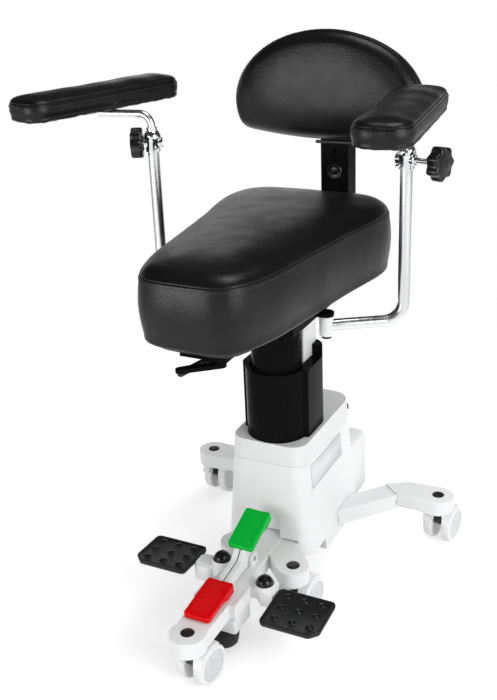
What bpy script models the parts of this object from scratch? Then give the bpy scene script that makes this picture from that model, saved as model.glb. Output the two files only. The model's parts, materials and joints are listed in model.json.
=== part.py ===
"""Surgeon stool.

A stool on five twin casters, with a lifting column, a padded seat, a backrest and two swinging arms.
The front leg carries a foot brake, green to release and red to lock, and two pedals for the height.
Metres, +Z up. The origin lies on the floor under the column's axis, and -Y is the front.
"""

from math import acos, atan2, cos, pi, radians, sin, sqrt

import bmesh
import bpy
from mathutils import Matrix, Vector

# Clearances between pieces
GAP = 0.0003
SLIDE = 0.0005
TURN = 0.0004
SIDES = {"right": 1, "left": -1}

# Casters: the swivel axes on the floor, and one caster's sizes
CASTERS = {
    "front": (0.0, -0.390),
    "front_right": (0.087, -0.139),
    "front_left": (-0.050, -0.106),
    "rear_right": (0.265, 0.206),
    "rear_left": (-0.265, 0.206),
}
WHEEL_R = 0.0375
WHEEL_WIDTH = 0.020
WHEEL_SPACE = 0.020
WHEEL_CHAMFER = 0.003
WHEEL_FACETS = 20
TRAIL = 0.030
CASTER_HEADING = radians(-8)
AXLE_R = 0.005
AXLE_BOSS_R = 0.010
HOOD_GAP = 0.0025
HOOD_WALL = 0.003
HOOD_REAR = radians(35)
HOOD_FRONT = radians(165)
WEB_HALF = 0.0085
WEB_SETBACK = radians(5)
SWIVEL_R = 0.024
SWIVEL_DEPTH = 0.010
STEM_R = 0.008
STEM_LENGTH = 0.020

# Legs
LEG_BOTTOM = 0.085
LEG_TOP = 0.117
LEG_HEAD_R = 0.033
FRONT_HALF = 0.030
LUG_R = 0.031
LUG_ROOT = (0.020, -0.070)
LUG_DROP = 0.0006
TAB_DROP = 0.004
PLATE_FRONT = -0.036
PLATE_HALF = 0.080
PLATE_BOTTOM = 0.090
PLATE_TOP = 0.112
RAIL_POINT = (0.1017, 0.1176)
RAIL_HEADING = radians(40.5)
RAIL_INSIDE = 0.064
RAIL_LENGTH = 0.1000
RAIL_WIDTH = 0.048
RAIL_BOTTOM = 0.079
RAIL_TOP = 0.113
GROOVE_DEPTH = 0.003
GROOVE_HEIGHT = 0.010
HEAD_REAR_CORNER = (0.195, 0.235)
HEAD_FRONT_CORNER = (0.212, 0.1785)

# Brake
BRAKE_Y = -0.262
BRAKE_HALF = 0.042
BRAKE_LENGTH = 0.064
BLOCK_BOTTOM = 0.050
BLOCK_ROUND = 0.006
FOOT_STEM_R = 0.007
FOOT_STEM_TOP = 0.074
FOOT_TOP = 0.040
FOOT_BOTTOM = 0.001
FOOT_R = 0.029
FOOT_FLAT_R = 0.019
ROCKER_Y = -0.165
ROCKER_Z = 0.130
ROCKER_HALF = 0.0125
ROCKER_PIN_R = 0.005
EAR_GAP = 0.0015
EAR_WALL = 0.0055
EAR_R = 0.012
PEDAL_HALF = 0.026
PEDAL_PLATE = 0.008
SKIRT_WALL = 0.006
RED_REAR = (-0.262, 0.142)
RED_FRONT = (-0.360, 0.131)
GREEN_REAR = (-0.102, 0.197)
GREEN_FRONT = (-0.188, 0.167)
SKIRT_DEPTH = 0.020
SKIRT_REACH = 0.045

# Height pedals: post axis, dome height, hinge, pedal centre and tilt on each side
POSTS = {"right": (0.063, -0.213), "left": (-0.039, -0.185)}
DOME_Z = {"right": 0.120, "left": 0.128}
HINGES = {"right": (-0.222, 0.098), "left": (-0.190, 0.106)}
PEDAL_CENTRES = {"right": (0.146, -0.250), "left": (-0.147, -0.193)}
PEDAL_TILTS = {"right": radians(4), "left": radians(-4)}
POST_TOP_R = 0.0195
POST_FOOT_R = 0.0135
POST_BOTTOM = 0.080
DOME_R = 0.0168
DOME_SINK = 0.002
BLOCK_HALF = 0.013
BLOCK_RISE = 0.012
BLOCK_FALL = 0.014
SHAFT_R = 0.005
TREAD_WIDTH = 0.112
TREAD_LENGTH = 0.092
TREAD_THICK = 0.007
TREAD_CORNER = 0.012
TREAD_CHAMFER = 0.030
TREAD_LIFT = 0.005
TREAD_GAP = 0.003
STUD_R = 0.0075
STUD_HEIGHT = 0.0025
STUD_PITCH_X = 0.034
STUD_PITCH_Y = 0.030
HUB_R = 0.009
HUB_LENGTH = 0.070

# Column
TUBE_R = 0.048
TUBE_WALL = 0.005
TUBE_BORE_R = TUBE_R - TUBE_WALL
TUBE_BOTTOM = 0.290
COLUMN_PLAY = 0.004
SLEEVE_WALL = 0.008
BORE_R = TUBE_R + COLUMN_PLAY
SLEEVE_R = BORE_R + SLEEVE_WALL
SLEEVE_CHEEK = 0.008
SLEEVE_HALF = SLEEVE_R + SLEEVE_CHEEK
SLEEVE_BOTTOM = 0.177
SLEEVE_LENGTH = 0.284
SLEEVE_TOP = SLEEVE_BOTTOM + SLEEVE_LENGTH
SLEEVE_SHOULDER = -0.012
SHOULDER_SLOPE = 0.003
GUIDE_INSET = 0.002
GUIDE_HALF = TUBE_R - GUIDE_INSET
GUIDE_FRONT = 0.024
GUIDE_REAR = 0.086
SLEEVE_BACK_WALL = 0.006
SLEEVE_REAR = GUIDE_REAR + SLEEVE_BACK_WALL
SLEEVE_REAR_R = 0.036
SLEEVE_RISE = 0.022
RISE_FRONT = 0.062
ACTUATOR_R = 0.032
ACTUATOR_TOP = 0.255
SPINDLE_R = 0.016
SPINDLE_TOP = 0.440

# Tower: the tapered body that the housing, the collar and the leg root share
COLLAR_SIDE = 0.008
COLLAR_LIP = 0.0025
TOWER_FLARE = 0.0195
TOWER_RAKE = 0.0075
TOWER_LOW = 0.062
TOWER_HIGH = 0.321
TOWER_HALF = (SLEEVE_HALF + COLLAR_SIDE + TOWER_FLARE, SLEEVE_HALF + COLLAR_SIDE)
TOWER_FRONT = (-SLEEVE_R - COLLAR_LIP - TOWER_RAKE, -SLEEVE_R - COLLAR_LIP)
TOWER_REAR = (0.208, 0.200)
TOWER_FRONT_R = 0.030
TOWER_REAR_R = 0.040
TOWER_WALL = 0.003
COLLAR_HEIGHT = 0.042
COLLAR_BOTTOM = TOWER_HIGH - COLLAR_HEIGHT
HOUSING_BOTTOM = 0.088
FRONT_WALL_TOP = 0.176
LEG_MOUTH_HALF = 0.066
LEG_MOUTH_TOP = 0.1195
RECESS_HALF = 0.028
RECESS_DEPTH_Y = -0.046
RECESS_TOP = 0.168
ROOT_FRONT = 0.007
ROOT_TOP = 0.131
ROOT_ARC = 0.045
BOSS_R = 0.033
PEDESTAL_HALF = 0.055
PEDESTAL_FRONT = 0.052
PEDESTAL_REAR = 0.090
COVER_HALF = 0.080
COVER_FRONT = 0.160
COVER_REAR = 0.288
COVER_BOTTOM = 0.055
COVER_TOP = 0.200
COVER_ROUND = 0.018
BATTERY_HALF = 0.060
BATTERY_LENGTH = 0.060
BATTERY_HEIGHT = 0.087
LABEL_LENGTH = 0.150
LABEL_HEIGHT = 0.050
LABEL_THICK = 0.0012
LABEL_Y = 0.043
LABEL_Z = 0.246
SOCKET_R = 0.0065
SOCKET_PROUD = 0.003
SOCKET_Z = 0.297
SOCKET_HEADING = radians(38)

# Seat
MECHANISM_HALF = 0.090
MECHANISM_FRONT = -0.120
MECHANISM_REAR = 0.110
MECHANISM_BOTTOM = 0.5723
MECHANISM_HEIGHT = 0.0337
MECHANISM_TOP = MECHANISM_BOTTOM + MECHANISM_HEIGHT
TONGUE_LEFT = -0.030
TONGUE_RIGHT = 0.055
TONGUE_FRONT = -0.300
TONGUE_THICK = 0.012
TONGUE_BOTTOM = MECHANISM_TOP - TONGUE_THICK
BOARD_INSET = 0.025
BOARD_THICK = 0.0114
BOARD_TOP = MECHANISM_TOP + GAP + BOARD_THICK
SEAT_THICK = 0.134
SEAT_TOP = BOARD_TOP + GAP + SEAT_THICK
SEAM_BELOW_TOP = 0.022
SEAT_SEAM = SEAT_TOP - SEAM_BELOW_TOP
SEAT_BULGE = 0.006
SEAT_FOOT_IN = 0.009
SEAM_DEPTH = 0.0025
SEAT_EDGE = 0.016
SEAT_CROWN = 0.006
SEAT_HALF_OUTLINE = [
    (0.0, -0.338), (0.048, -0.337), (0.083, -0.322), (0.104, -0.283), (0.120, -0.222), (0.129, -0.155),
    (0.138, -0.090), (0.150, 0.0), (0.168, 0.100), (0.167, 0.155), (0.146, 0.200), (0.104, 0.224),
    (0.050, 0.230), (0.0, 0.2305),
]
LEVER_PIVOT = (0.036, -0.285)
LEVER_TIP = (-0.014, -0.330)
LEVER_HUB_R = 0.010
LEVER_TIP_R = 0.007
LEVER_THICK = 0.007
LEVER_HUB_HEIGHT = 0.014
LEVER_BOTTOM = TONGUE_BOTTOM - LEVER_HUB_HEIGHT

# Back
BRACKET_HALF = 0.030
BRACKET_STEP = 0.0027
BRACKET_BOTTOM = MECHANISM_BOTTOM + BRACKET_STEP
BRACKET_THICK = 0.012
BRACKET_TOP = BRACKET_BOTTOM + BRACKET_THICK
SOCKET_HALF = 0.038
SOCKET_FRONT = 0.292
SOCKET_REAR = 0.352
SOCKET_HEIGHT = 0.115
SOCKET_TOP = BRACKET_BOTTOM + SOCKET_HEIGHT
FLOOR_THICK = 0.009
SOCKET_FLOOR = BRACKET_BOTTOM + FLOOR_THICK
BAR_HALF = 0.0295
BAR_FRONT = 0.300
BAR_REAR = 0.344
BAR_RAISED = 0.022
BAR_LENGTH = 0.309
BAR_BOTTOM = SOCKET_FLOOR + BAR_RAISED
BAR_TOP = BAR_BOTTOM + BAR_LENGTH
BAR_HOLE_BELOW = 0.113
BAR_HOLE_Z = BAR_TOP - BAR_HOLE_BELOW
BAR_HOLE_R = 0.0045
BAR_HOLE_DEPTH = 0.012
HINGE_Y = 0.322
HINGE_BELOW = 0.040
HINGE_Z = BAR_TOP - HINGE_BELOW
HINGE_PIN_R = 0.008
HINGE_EAR_R = 0.013
HINGE_EAR_WALL = 0.006
HINGE_EAR_GAP = 0.0007
HINGE_PIN_IN = 0.008
BACK_FRONT = 0.234
BACK_REAR = 0.2837
BACK_SHELL = 0.007
BACK_SHELL_INSET = 0.028
BACK_HALF = 0.197
BACK_DROP = 0.041
BACK_HEIGHT = 0.207
BACK_WIDEST = 0.066
BACK_CORNER_IN = 0.011
BACK_CORNER_RISE = 0.022
BACK_CORNER_TURN = 0.86
BACK_BOTTOM = HINGE_Z - BACK_DROP
BACK_TOP = BACK_BOTTOM + BACK_HEIGHT
BACK_MIDDLE = BACK_BOTTOM + BACK_WIDEST
BACK_CORNER = (BACK_HALF - BACK_CORNER_IN, BACK_BOTTOM + BACK_CORNER_RISE)
BACK_BULGE = 0.004
BACK_EDGE = 0.020
BACK_CROWN = 0.006
BACK_KNOB_BELOW = 0.040
BACK_KNOB_Z = SOCKET_TOP - BACK_KNOB_BELOW
BACK_KNOB_R = 0.022
BACK_KNOB_THICK = 0.0185
BACK_KNOB_OFF = 0.0015

# Arms: pivot and post axis on the right side, mirrored for the left
ARM_PIVOT = (0.128, -0.062)
ARM_POST = (0.244, 0.010)
ARM_DROP = 0.026
ARM_Z = MECHANISM_TOP - ARM_DROP
ARM_R = 0.0105
ARM_BEND = 0.035
ARM_HEIGHT = 0.282
ARM_TOP = ARM_Z + ARM_HEIGHT
ARM_HUB_R = 0.0115
ARM_HUB_HALF = 0.018
PIVOT_PIN_R = 0.005
PIVOT_HEAD_R = 0.009
PIVOT_HEAD_THICK = 0.0045
PIVOT_PLATE = 0.007
PIVOT_PLATE_R = 0.014
CLAMP_R = 0.0135
CLAMP_BALL_R = 0.0155
CLAMP_NECK_R = 0.0105
CLAMP_GRIP = 0.014
CLAMP_BALL_RISE = 0.013
CLAMP_RISE = 0.031
CLAMP_BOTTOM = ARM_TOP - CLAMP_GRIP
CLAMP_BALL_Z = ARM_TOP + CLAMP_BALL_RISE
CLAMP_TOP = ARM_TOP + CLAMP_RISE
CLAMP_BOSS_R = 0.0085
CLAMP_BOSS_REACH = 0.0175
KNOB_RISE = 0.002
KNOB_Z = ARM_TOP + KNOB_RISE
KNOB_R = 0.029
KNOB_THICK = 0.022
KNOB_LOBES = 7
KNOB_DIP = 0.006
KNOB_STEM_R = 0.0045
KNOB_REACH = {"right": 0.0628, "left": 0.0291}
KNOB_HEADING = {"right": radians(-15), "left": radians(206.5)}
ROD_R = 0.007
ROD_LIFT = 0.005
ROD_HEIGHT = 0.050
ROD_BOTTOM = ARM_TOP + ROD_LIFT
ROD_Z = ROD_BOTTOM + ROD_HEIGHT
ROD_BEND = 0.022
ROD_REACH = {"right": 0.075, "left": 0.105}
ROD_HEADING = {"right": radians(-72), "left": radians(188)}
PAD_PLATE = (0.060, 0.130, 0.005)
PAD_CENTRES = {"right": (0.2515, -0.037), "left": (-0.351, 0.000)}
PAD_YAWS = {"right": radians(7), "left": radians(-17.5)}
PAD_WIDTH = 0.097
PAD_LENGTH = 0.358
PAD_OVER_ROD = 0.002
PAD_THICK = 0.050
PAD_BOTTOM = ROD_Z + ROD_R + PAD_OVER_ROD
PAD_TOP = PAD_BOTTOM + PAD_THICK
PAD_CORNER = 0.038
PAD_WAIST = 0.002
PAD_EDGE = 0.014
PAD_CROWN = 0.004

# Finishes: colour, roughness, metallic
WHITE = ((0.86, 0.86, 0.87), 0.35, 0.0)
GREY = ((0.62, 0.63, 0.65), 0.45, 0.0)
BLACK = ((0.015, 0.015, 0.016), 0.30, 0.0)
RUBBER = ((0.02, 0.02, 0.02), 0.75, 0.0)
LEATHER = ((0.022, 0.022, 0.024), 0.42, 0.0)
CHROME = ((0.80, 0.81, 0.83), 0.12, 1.0)
STEEL = ((0.55, 0.56, 0.58), 0.30, 1.0)
RED = ((0.78, 0.01, 0.02), 0.30, 0.0)
GREEN = ((0.01, 0.52, 0.10), 0.30, 0.0)
WOOD = ((0.030, 0.024, 0.018), 0.60, 0.0)


def new_collection(name):
    collection = bpy.data.collections.new(name)
    bpy.context.scene.collection.children.link(collection)
    return collection


for old_object in list(bpy.data.objects):
    bpy.data.objects.remove(old_object, do_unlink=True)
for old_collection in list(bpy.data.collections):
    bpy.data.collections.remove(old_collection)
PARTS = new_collection("surgeon_stool")
CUTTERS = new_collection("cutters")


# Shapes

def add_object(name, mesh):
    obj = bpy.data.objects.new(name, mesh)
    PARTS.objects.link(obj)
    return obj


def from_bmesh(name, bm):
    mesh = bpy.data.meshes.new(name)
    bm.to_mesh(mesh)
    bm.free()
    return add_object(name, mesh)


def from_curve(name, curve):
    """Turn a curve with filled caps into one welded mesh."""
    source = add_object(name + "_curve", curve)
    depsgraph = bpy.context.evaluated_depsgraph_get()
    mesh = bpy.data.meshes.new_from_object(source.evaluated_get(depsgraph))
    bpy.data.objects.remove(source)
    bpy.data.curves.remove(curve)
    bm = bmesh.new()
    bm.from_mesh(mesh)
    bmesh.ops.remove_doubles(bm, verts=bm.verts, dist=0.00001)
    bmesh.ops.recalc_face_normals(bm, faces=bm.faces)
    bm.to_mesh(mesh)
    bm.free()
    return add_object(name, mesh)


def box(name, low, high):
    low, high = Vector(low), Vector(high)
    bm = bmesh.new()
    bmesh.ops.create_cube(bm, size=1.0)
    bmesh.ops.scale(bm, vec=high - low, verts=bm.verts)
    obj = from_bmesh(name, bm)
    obj.location = (low + high) / 2
    return obj


def rod(name, start, end, radius, sides=12):
    start, end = Vector(start), Vector(end)
    bm = bmesh.new()
    bmesh.ops.create_cone(bm, cap_ends=True, segments=sides, radius1=radius, radius2=radius,
                          depth=(end - start).length)
    obj = from_bmesh(name, bm)
    obj.location = (start + end) / 2
    obj.rotation_euler = (end - start).to_track_quat('Z', 'Y').to_euler()
    return obj


def turned(name, profile, centre, steps=24):
    """Sweep a profile of (radius, height) points, given from the top down its outer side, about Z."""
    half_step = pi / steps
    bm = bmesh.new()
    verts = [bm.verts.new((r * cos(half_step), r * sin(half_step), height)) for r, height in profile]
    for upper, lower in zip(verts, verts[1:]):
        bm.edges.new((upper, lower))
    obj = from_bmesh(name, bm)
    obj.location = centre
    sweep = obj.modifiers.new("sweep", 'SCREW')
    sweep.steps = steps
    sweep.render_steps = steps
    sweep.use_merge_vertices = True
    sweep.merge_threshold = 0.00001
    return obj


def prism(name, outline, low, high, along='Z'):
    """Extrude a flat outline. It is (x, y) along Z, (y, z) along X and (x, z) along Y."""
    curve = bpy.data.curves.new(name, 'CURVE')
    curve.dimensions = '2D'
    curve.fill_mode = 'BOTH'
    curve.extrude = (high - low) / 2
    spline = curve.splines.new('POLY')
    spline.points.add(len(outline) - 1)
    for point, (u, v) in zip(spline.points, outline):
        point.co = (u, v, 0.0, 1.0)
    spline.use_cyclic_u = True
    obj = from_curve(name, curve)
    middle = (low + high) / 2
    if along == 'X':
        obj.location = (middle, 0.0, 0.0)
        obj.rotation_euler = (pi / 2, 0.0, pi / 2)
    elif along == 'Y':
        obj.location = (0.0, middle, 0.0)
        obj.rotation_euler = (pi / 2, 0.0, 0.0)
    else:
        obj.location = (0.0, 0.0, middle)
    return obj


def tube(name, points, radius):
    curve = bpy.data.curves.new(name, 'CURVE')
    curve.dimensions = '3D'
    curve.bevel_depth = radius
    curve.bevel_resolution = 4
    curve.use_fill_caps = True
    spline = curve.splines.new('POLY')
    spline.points.add(len(points) - 1)
    for point, place in zip(spline.points, points):
        point.co = (*place, 1.0)
    return from_curve(name, curve)


def loft(name, rings):
    """Skin rings of equal point counts, in order, and close both ends."""
    bm = bmesh.new()
    loops = [[bm.verts.new(point) for point in ring] for ring in rings]
    count = len(loops[0])
    for lower, upper in zip(loops, loops[1:]):
        for i in range(count):
            j = (i + 1) % count
            bm.faces.new((lower[i], lower[j], upper[j], upper[i]))
    bm.faces.new(loops[0][::-1])
    bm.faces.new(loops[-1])
    bmesh.ops.recalc_face_normals(bm, faces=bm.faces)
    return from_bmesh(name, bm)


# Outlines

def arc(centre, radius, start, end, steps):
    turns = [start + (end - start) * i / steps for i in range(steps + 1)]
    return [(centre[0] + radius * cos(t), centre[1] + radius * sin(t)) for t in turns]


def rounded_rectangle(low, high, radii, steps=4):
    """Corner radii in the order front right, rear right, rear left, front left."""
    (x0, y0), (x1, y1) = low, high
    a, b, c, d = radii
    return (arc((x1 - a, y0 + a), a, -pi / 2, 0.0, steps)
            + arc((x1 - b, y1 - b), b, 0.0, pi / 2, steps)
            + arc((x0 + c, y1 - c), c, pi / 2, pi, steps)
            + arc((x0 + d, y0 + d), d, pi, 3 * pi / 2, steps))


def capsule(start, end, radius, steps=6):
    heading = atan2(end[1] - start[1], end[0] - start[0])
    return (arc(end, radius, heading - pi / 2, heading + pi / 2, steps)
            + arc(start, radius, heading + pi / 2, heading + 3 * pi / 2, steps))


def inset_outline(outline, inset):
    """Move each point of a counterclockwise outline inwards along its own normal."""
    count = len(outline)
    moved = []
    for i in range(count):
        before, after = Vector(outline[i - 1]), Vector(outline[(i + 1) % count])
        along = (after - before).normalized()
        moved.append((outline[i][0] - along.y * inset, outline[i][1] + along.x * inset))
    return moved


def crown_rings(edge, targets, rise):
    """Rings that run from an edge ring towards target points at its level, and rise in a shallow dome."""
    rings = []
    for share in (0.3, 0.6, 0.85):
        lift = Vector(rise) * (1 - (1 - share) ** 2)
        rings.append([Vector(point).lerp(Vector(target), share) + lift
                      for point, target in zip(edge, targets)])
    return rings


def smooth_closed(points, per_span=2):
    """A closed Catmull-Rom curve through the points."""
    count = len(points)
    curve = []
    for i in range(count):
        p0, p1, p2, p3 = (Vector(points[(i + k) % count]) for k in (-1, 0, 1, 2))
        for step in range(per_span):
            t = step / per_span
            place = 0.5 * (2 * p1 + (p2 - p0) * t + (2 * p0 - 5 * p1 + 4 * p2 - p3) * t ** 2
                           + (3 * p1 - 3 * p2 + p3 - p0) * t ** 3)
            curve.append((place.x, place.y))
    return curve


def rounded_path(points, radius, steps=5):
    """A path through three points with its middle corner turned into an arc."""
    first, corner, last = (Vector(p) for p in points)
    back, ahead = (first - corner).normalized(), (last - corner).normalized()
    half = back.angle(ahead) / 2
    centre = corner + (back + ahead).normalized() * radius / sin(half)
    tangent_in = corner + back * radius * cos(half) / sin(half)
    tangent_out = corner + ahead * radius * cos(half) / sin(half)
    spoke_in, spoke_out = (tangent_in - centre).normalized(), (tangent_out - centre).normalized()
    bend = [centre + radius * spoke_in.slerp(spoke_out, i / steps) for i in range(steps + 1)]
    return [first, *bend, last]


def mirrored(outline, side):
    """The outline on the right side, or its mirror image on the left."""
    return outline if side == 1 else [(-x, y) for x, y in outline[::-1]]


def star(radius, dip, lobes, steps=5):
    turns = [2 * pi * i / (lobes * steps) for i in range(lobes * steps)]
    reach = [radius - dip * (0.5 - 0.5 * cos(lobes * t)) for t in turns]
    return [(r * cos(t), r * sin(t)) for r, t in zip(reach, turns)]


# Joining, finishing and placing

def boolean(target, tool, operation, inside=False):
    """Fuse, cut or intersect with a tool. An inside tool is placed in the target's own frame."""
    PARTS.objects.unlink(tool)
    CUTTERS.objects.link(tool)
    tool.hide_render = True
    tool.display_type = 'WIRE'
    if inside:
        tool.parent = target
    modifier = target.modifiers.new(tool.name, 'BOOLEAN')
    modifier.operation = operation
    modifier.solver = 'EXACT'
    modifier.object = tool


def fuse(target, *tools, inside=False):
    for tool in tools:
        boolean(target, tool, 'UNION', inside)


def cut(target, *tools, inside=False):
    for tool in tools:
        boolean(target, tool, 'DIFFERENCE', inside)


def rounded(obj, width, segments=2):
    bevel = obj.modifiers.new("rounded", 'BEVEL')
    bevel.width = width
    bevel.segments = segments
    bevel.limit_method = 'ANGLE'


def finish(obj, look):
    colour, roughness, metallic = look
    material = bpy.data.materials.new(obj.name)
    material.use_nodes = True
    shader = material.node_tree.nodes["Principled BSDF"]
    shader.inputs["Base Color"].default_value = (*colour, 1.0)
    shader.inputs["Roughness"].default_value = roughness
    shader.inputs["Metallic"].default_value = metallic
    obj.data.materials.append(material)
    obj.data.shade_smooth()
    obj.data.set_sharp_from_angle(angle=radians(35))
    return obj


AXIS_POINTS = {}


def axis(name, point, parent=None):
    """An empty on a joint's axis."""
    empty = bpy.data.objects.new("axis_" + name, None)
    PARTS.objects.link(empty)
    AXIS_POINTS[empty.name] = Vector(point)
    empty.location = point
    if parent is not None:
        ride(empty, parent)
    return empty


def ride(obj, carrier):
    """Carry an object, placed in the world, on a joint's empty."""
    obj.parent = carrier
    obj.matrix_parent_inverse = Matrix.Translation(-AXIS_POINTS[carrier.name])
    return obj


# Casters

def caster_wheels(name, x, y):
    """Two wheels on one axle, with a flat of the rim on the floor."""
    rim = WHEEL_R / cos(pi / WHEEL_FACETS)
    face = rim - WHEEL_CHAMFER
    inner = WHEEL_SPACE / 2
    outer = inner + WHEEL_WIDTH
    right = [(0.0, outer), (face, outer), (rim, outer - WHEEL_CHAMFER), (rim, inner), (AXLE_R, inner)]
    left = [(r, -height) for r, height in right[::-1]]
    wheels = turned(name, right + left, (x, y + TRAIL, WHEEL_R), WHEEL_FACETS)
    wheels.rotation_euler = (0.0, pi / 2, 0.0)
    return finish(wheels, WHITE)


def caster_fork(name, x, y):
    """A hood over both wheels, a web between them, and a stem up into the leg."""
    axle = (y + TRAIL, WHEEL_R)
    outer = WHEEL_SPACE / 2 + WHEEL_WIDTH
    hood_in = WHEEL_R + HOOD_GAP
    hood_out = hood_in + HOOD_WALL
    top = LEG_BOTTOM - SLIDE
    fork = rod(name, (x, y, top - SWIVEL_DEPTH), (x, y, top), SWIVEL_R, 16)
    cut(fork, rod(name + "_wheel_room", (x - outer, *axle), (x + outer, *axle), hood_in, 24))
    hood = arc(axle, hood_out, HOOD_REAR, HOOD_FRONT, 8) + arc(axle, hood_in, HOOD_FRONT, HOOD_REAR, 8)
    web_rear, web_front = HOOD_REAR + WEB_SETBACK, HOOD_FRONT - WEB_SETBACK
    web = (arc(axle, hood_in + HOOD_WALL / 2, web_rear, web_front, 8)
           + arc(axle, AXLE_BOSS_R, web_front, web_rear + 2 * pi, 6))
    fuse(fork, prism(name + "_hood", hood, x - outer, x + outer, 'X'),
         prism(name + "_web", web, x - WEB_HALF, x + WEB_HALF, 'X'),
         rod(name + "_stem", (x, y, top - SWIVEL_DEPTH / 2), (x, y, top + STEM_LENGTH), STEM_R))
    cut(fork, rod(name + "_axle_hole", (x - outer, *axle), (x + outer, *axle), AXLE_R + TURN))
    return finish(fork, WHITE)


def stem_hole(name, x, y):
    top = LEG_BOTTOM - SLIDE + STEM_LENGTH + GAP
    return rod(name, (x, y, RAIL_BOTTOM), (x, y, top), STEM_R + TURN)


def build_casters():
    for place, (x, y) in CASTERS.items():
        name = "caster_" + place
        swivel = axis(name + "_swivel", (x, y, LEG_BOTTOM))
        spin = axis(name + "_wheels", (x, y + TRAIL, WHEEL_R), swivel)
        fork = ride(caster_fork(name + "_fork", x, y), swivel)
        for modifier in fork.modifiers:
            ride(modifier.object, swivel)
        ride(caster_wheels(name + "_wheels", x, y), spin)
        swivel.rotation_euler.z = CASTER_HEADING


# Base

def tower_ring(z, inset=0.0):
    t = (z - TOWER_LOW) / (TOWER_HIGH - TOWER_LOW)
    half, nose, tail = (a + (b - a) * t for a, b in (TOWER_HALF, TOWER_FRONT, TOWER_REAR))
    fore_r = TOWER_FRONT_R - inset
    rear_r = TOWER_REAR_R - inset
    outline = rounded_rectangle((inset - half, nose + inset), (half - inset, tail - inset),
                                (fore_r, rear_r, rear_r, fore_r))
    return [(x, y, z) for x, y in outline]


def tower(name, low, high, inset=0.0):
    return loft(name, [tower_ring(low, inset), tower_ring(high, inset)])


def tower_half(z):
    t = (z - TOWER_LOW) / (TOWER_HIGH - TOWER_LOW)
    return TOWER_HALF[0] + (TOWER_HALF[1] - TOWER_HALF[0]) * t


def root_outline(grow):
    """Side view of the rear leg root, with its round front corner."""
    centre = (ROOT_FRONT + ROOT_ARC, ROOT_TOP - ROOT_ARC)
    floor = TOWER_LOW - ROOT_ARC
    behind = COVER_REAR
    return [(ROOT_FRONT - grow, floor), (behind, floor), (behind, ROOT_TOP + grow),
            *arc(centre, ROOT_ARC + grow, pi / 2, pi, 6)]


def sleeve_outline(grow=0.0):
    radius = SLEEVE_R + grow
    half = SLEEVE_HALF + grow
    shoulder = SLEEVE_SHOULDER - grow
    rear = SLEEVE_REAR + grow
    rear_r = SLEEVE_REAR_R + grow
    meet = atan2(shoulder, sqrt(radius ** 2 - shoulder ** 2))
    return ([(-half, shoulder + SHOULDER_SLOPE)]
            + arc((0.0, 0.0), radius, pi - meet - 2 * pi, meet, 20)
            + [(half, shoulder + SHOULDER_SLOPE)]
            + arc((half - rear_r, rear - rear_r), rear_r, 0.0, pi / 2, 5)
            + arc((rear_r - half, rear - rear_r), rear_r, pi / 2, pi, 5))


def bore_outline():
    half = GUIDE_HALF + SLIDE
    meet = acos(half / BORE_R)
    rear = GUIDE_REAR + SLIDE
    return arc((0.0, 0.0), BORE_R, pi - meet - 2 * pi, meet, 22) + [(half, rear), (-half, rear)]


def build_base_casting():
    casting = tower("base_casting", TOWER_LOW, COLLAR_BOTTOM)
    wide = TOWER_HALF[0] + TOWER_REAR_R
    boolean(casting, prism("root_side", root_outline(0.0), -wide, wide, 'X'), 'INTERSECT')
    fuse(casting,
         box("root_plate", (-PLATE_HALF, PLATE_FRONT, PLATE_BOTTOM),
             (PLATE_HALF, PEDESTAL_FRONT, PLATE_TOP)),
         rod("actuator_boss", (0, 0, (PLATE_BOTTOM + PLATE_TOP) / 2), (0, 0, ROOT_TOP - GAP), BOSS_R, 20),
         box("pedestal", (-PEDESTAL_HALF, PEDESTAL_FRONT, PLATE_TOP),
             (PEDESTAL_HALF, PEDESTAL_REAR, SLEEVE_BOTTOM - GAP)))
    finish(casting, WHITE)


def build_housing():
    top = COLLAR_BOTTOM - GAP
    shell = tower("housing_shell", HOUSING_BOTTOM, top)
    wide = TOWER_HALF[0] + TOWER_REAR_R
    room = tower("housing_room", HOUSING_BOTTOM - TOWER_WALL, top + TOWER_WALL, TOWER_WALL)
    cut(room, box("front_wall", (-wide, TOWER_FRONT[0] - TOWER_WALL, TOWER_LOW),
                  (wide, PLATE_FRONT - GAP, FRONT_WALL_TOP)))
    cut(shell, room,
        box("leg_mouth", (-LEG_MOUTH_HALF, TOWER_FRONT[0] - TOWER_WALL, TOWER_LOW),
            (LEG_MOUTH_HALF, PLATE_FRONT + TOWER_WALL, LEG_MOUTH_TOP)),
        box("pedal_recess", (-RECESS_HALF, TOWER_FRONT[0] - TOWER_WALL, LEG_TOP),
            (RECESS_HALF, RECESS_DEPTH_Y, RECESS_TOP)),
        prism("root_seam", root_outline(GAP), -wide, wide, 'X'),
        prism("sleeve_room", sleeve_outline(GAP), SLEEVE_BOTTOM - GAP, TOWER_HIGH))
    finish(shell, WHITE)


def build_collar():
    collar = tower("collar_cap", COLLAR_BOTTOM, TOWER_HIGH)
    cut(collar,
        tower("collar_room", COLLAR_BOTTOM - TOWER_WALL, TOWER_HIGH - TOWER_WALL, TOWER_WALL),
        prism("collar_mouth", sleeve_outline(GAP), COLLAR_BOTTOM, TOWER_HIGH + TOWER_WALL))
    finish(collar, GREY)
    corner_half = tower_half(SOCKET_Z) - TOWER_REAR_R
    t = (SOCKET_Z - TOWER_LOW) / (TOWER_HIGH - TOWER_LOW)
    corner_y = TOWER_REAR[0] + (TOWER_REAR[1] - TOWER_REAR[0]) * t - TOWER_REAR_R
    heading = Vector((cos(SOCKET_HEADING), sin(SOCKET_HEADING), 0.0))
    centre = Vector((corner_half, corner_y, SOCKET_Z))
    socket = rod("charge_socket", centre + heading * TOWER_REAR_R / 2,
                 centre + heading * (TOWER_REAR_R + SOCKET_PROUD), SOCKET_R)
    cut(socket, tower("socket_seat", COLLAR_BOTTOM, TOWER_HIGH, -GAP))
    finish(socket, BLACK)


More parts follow.
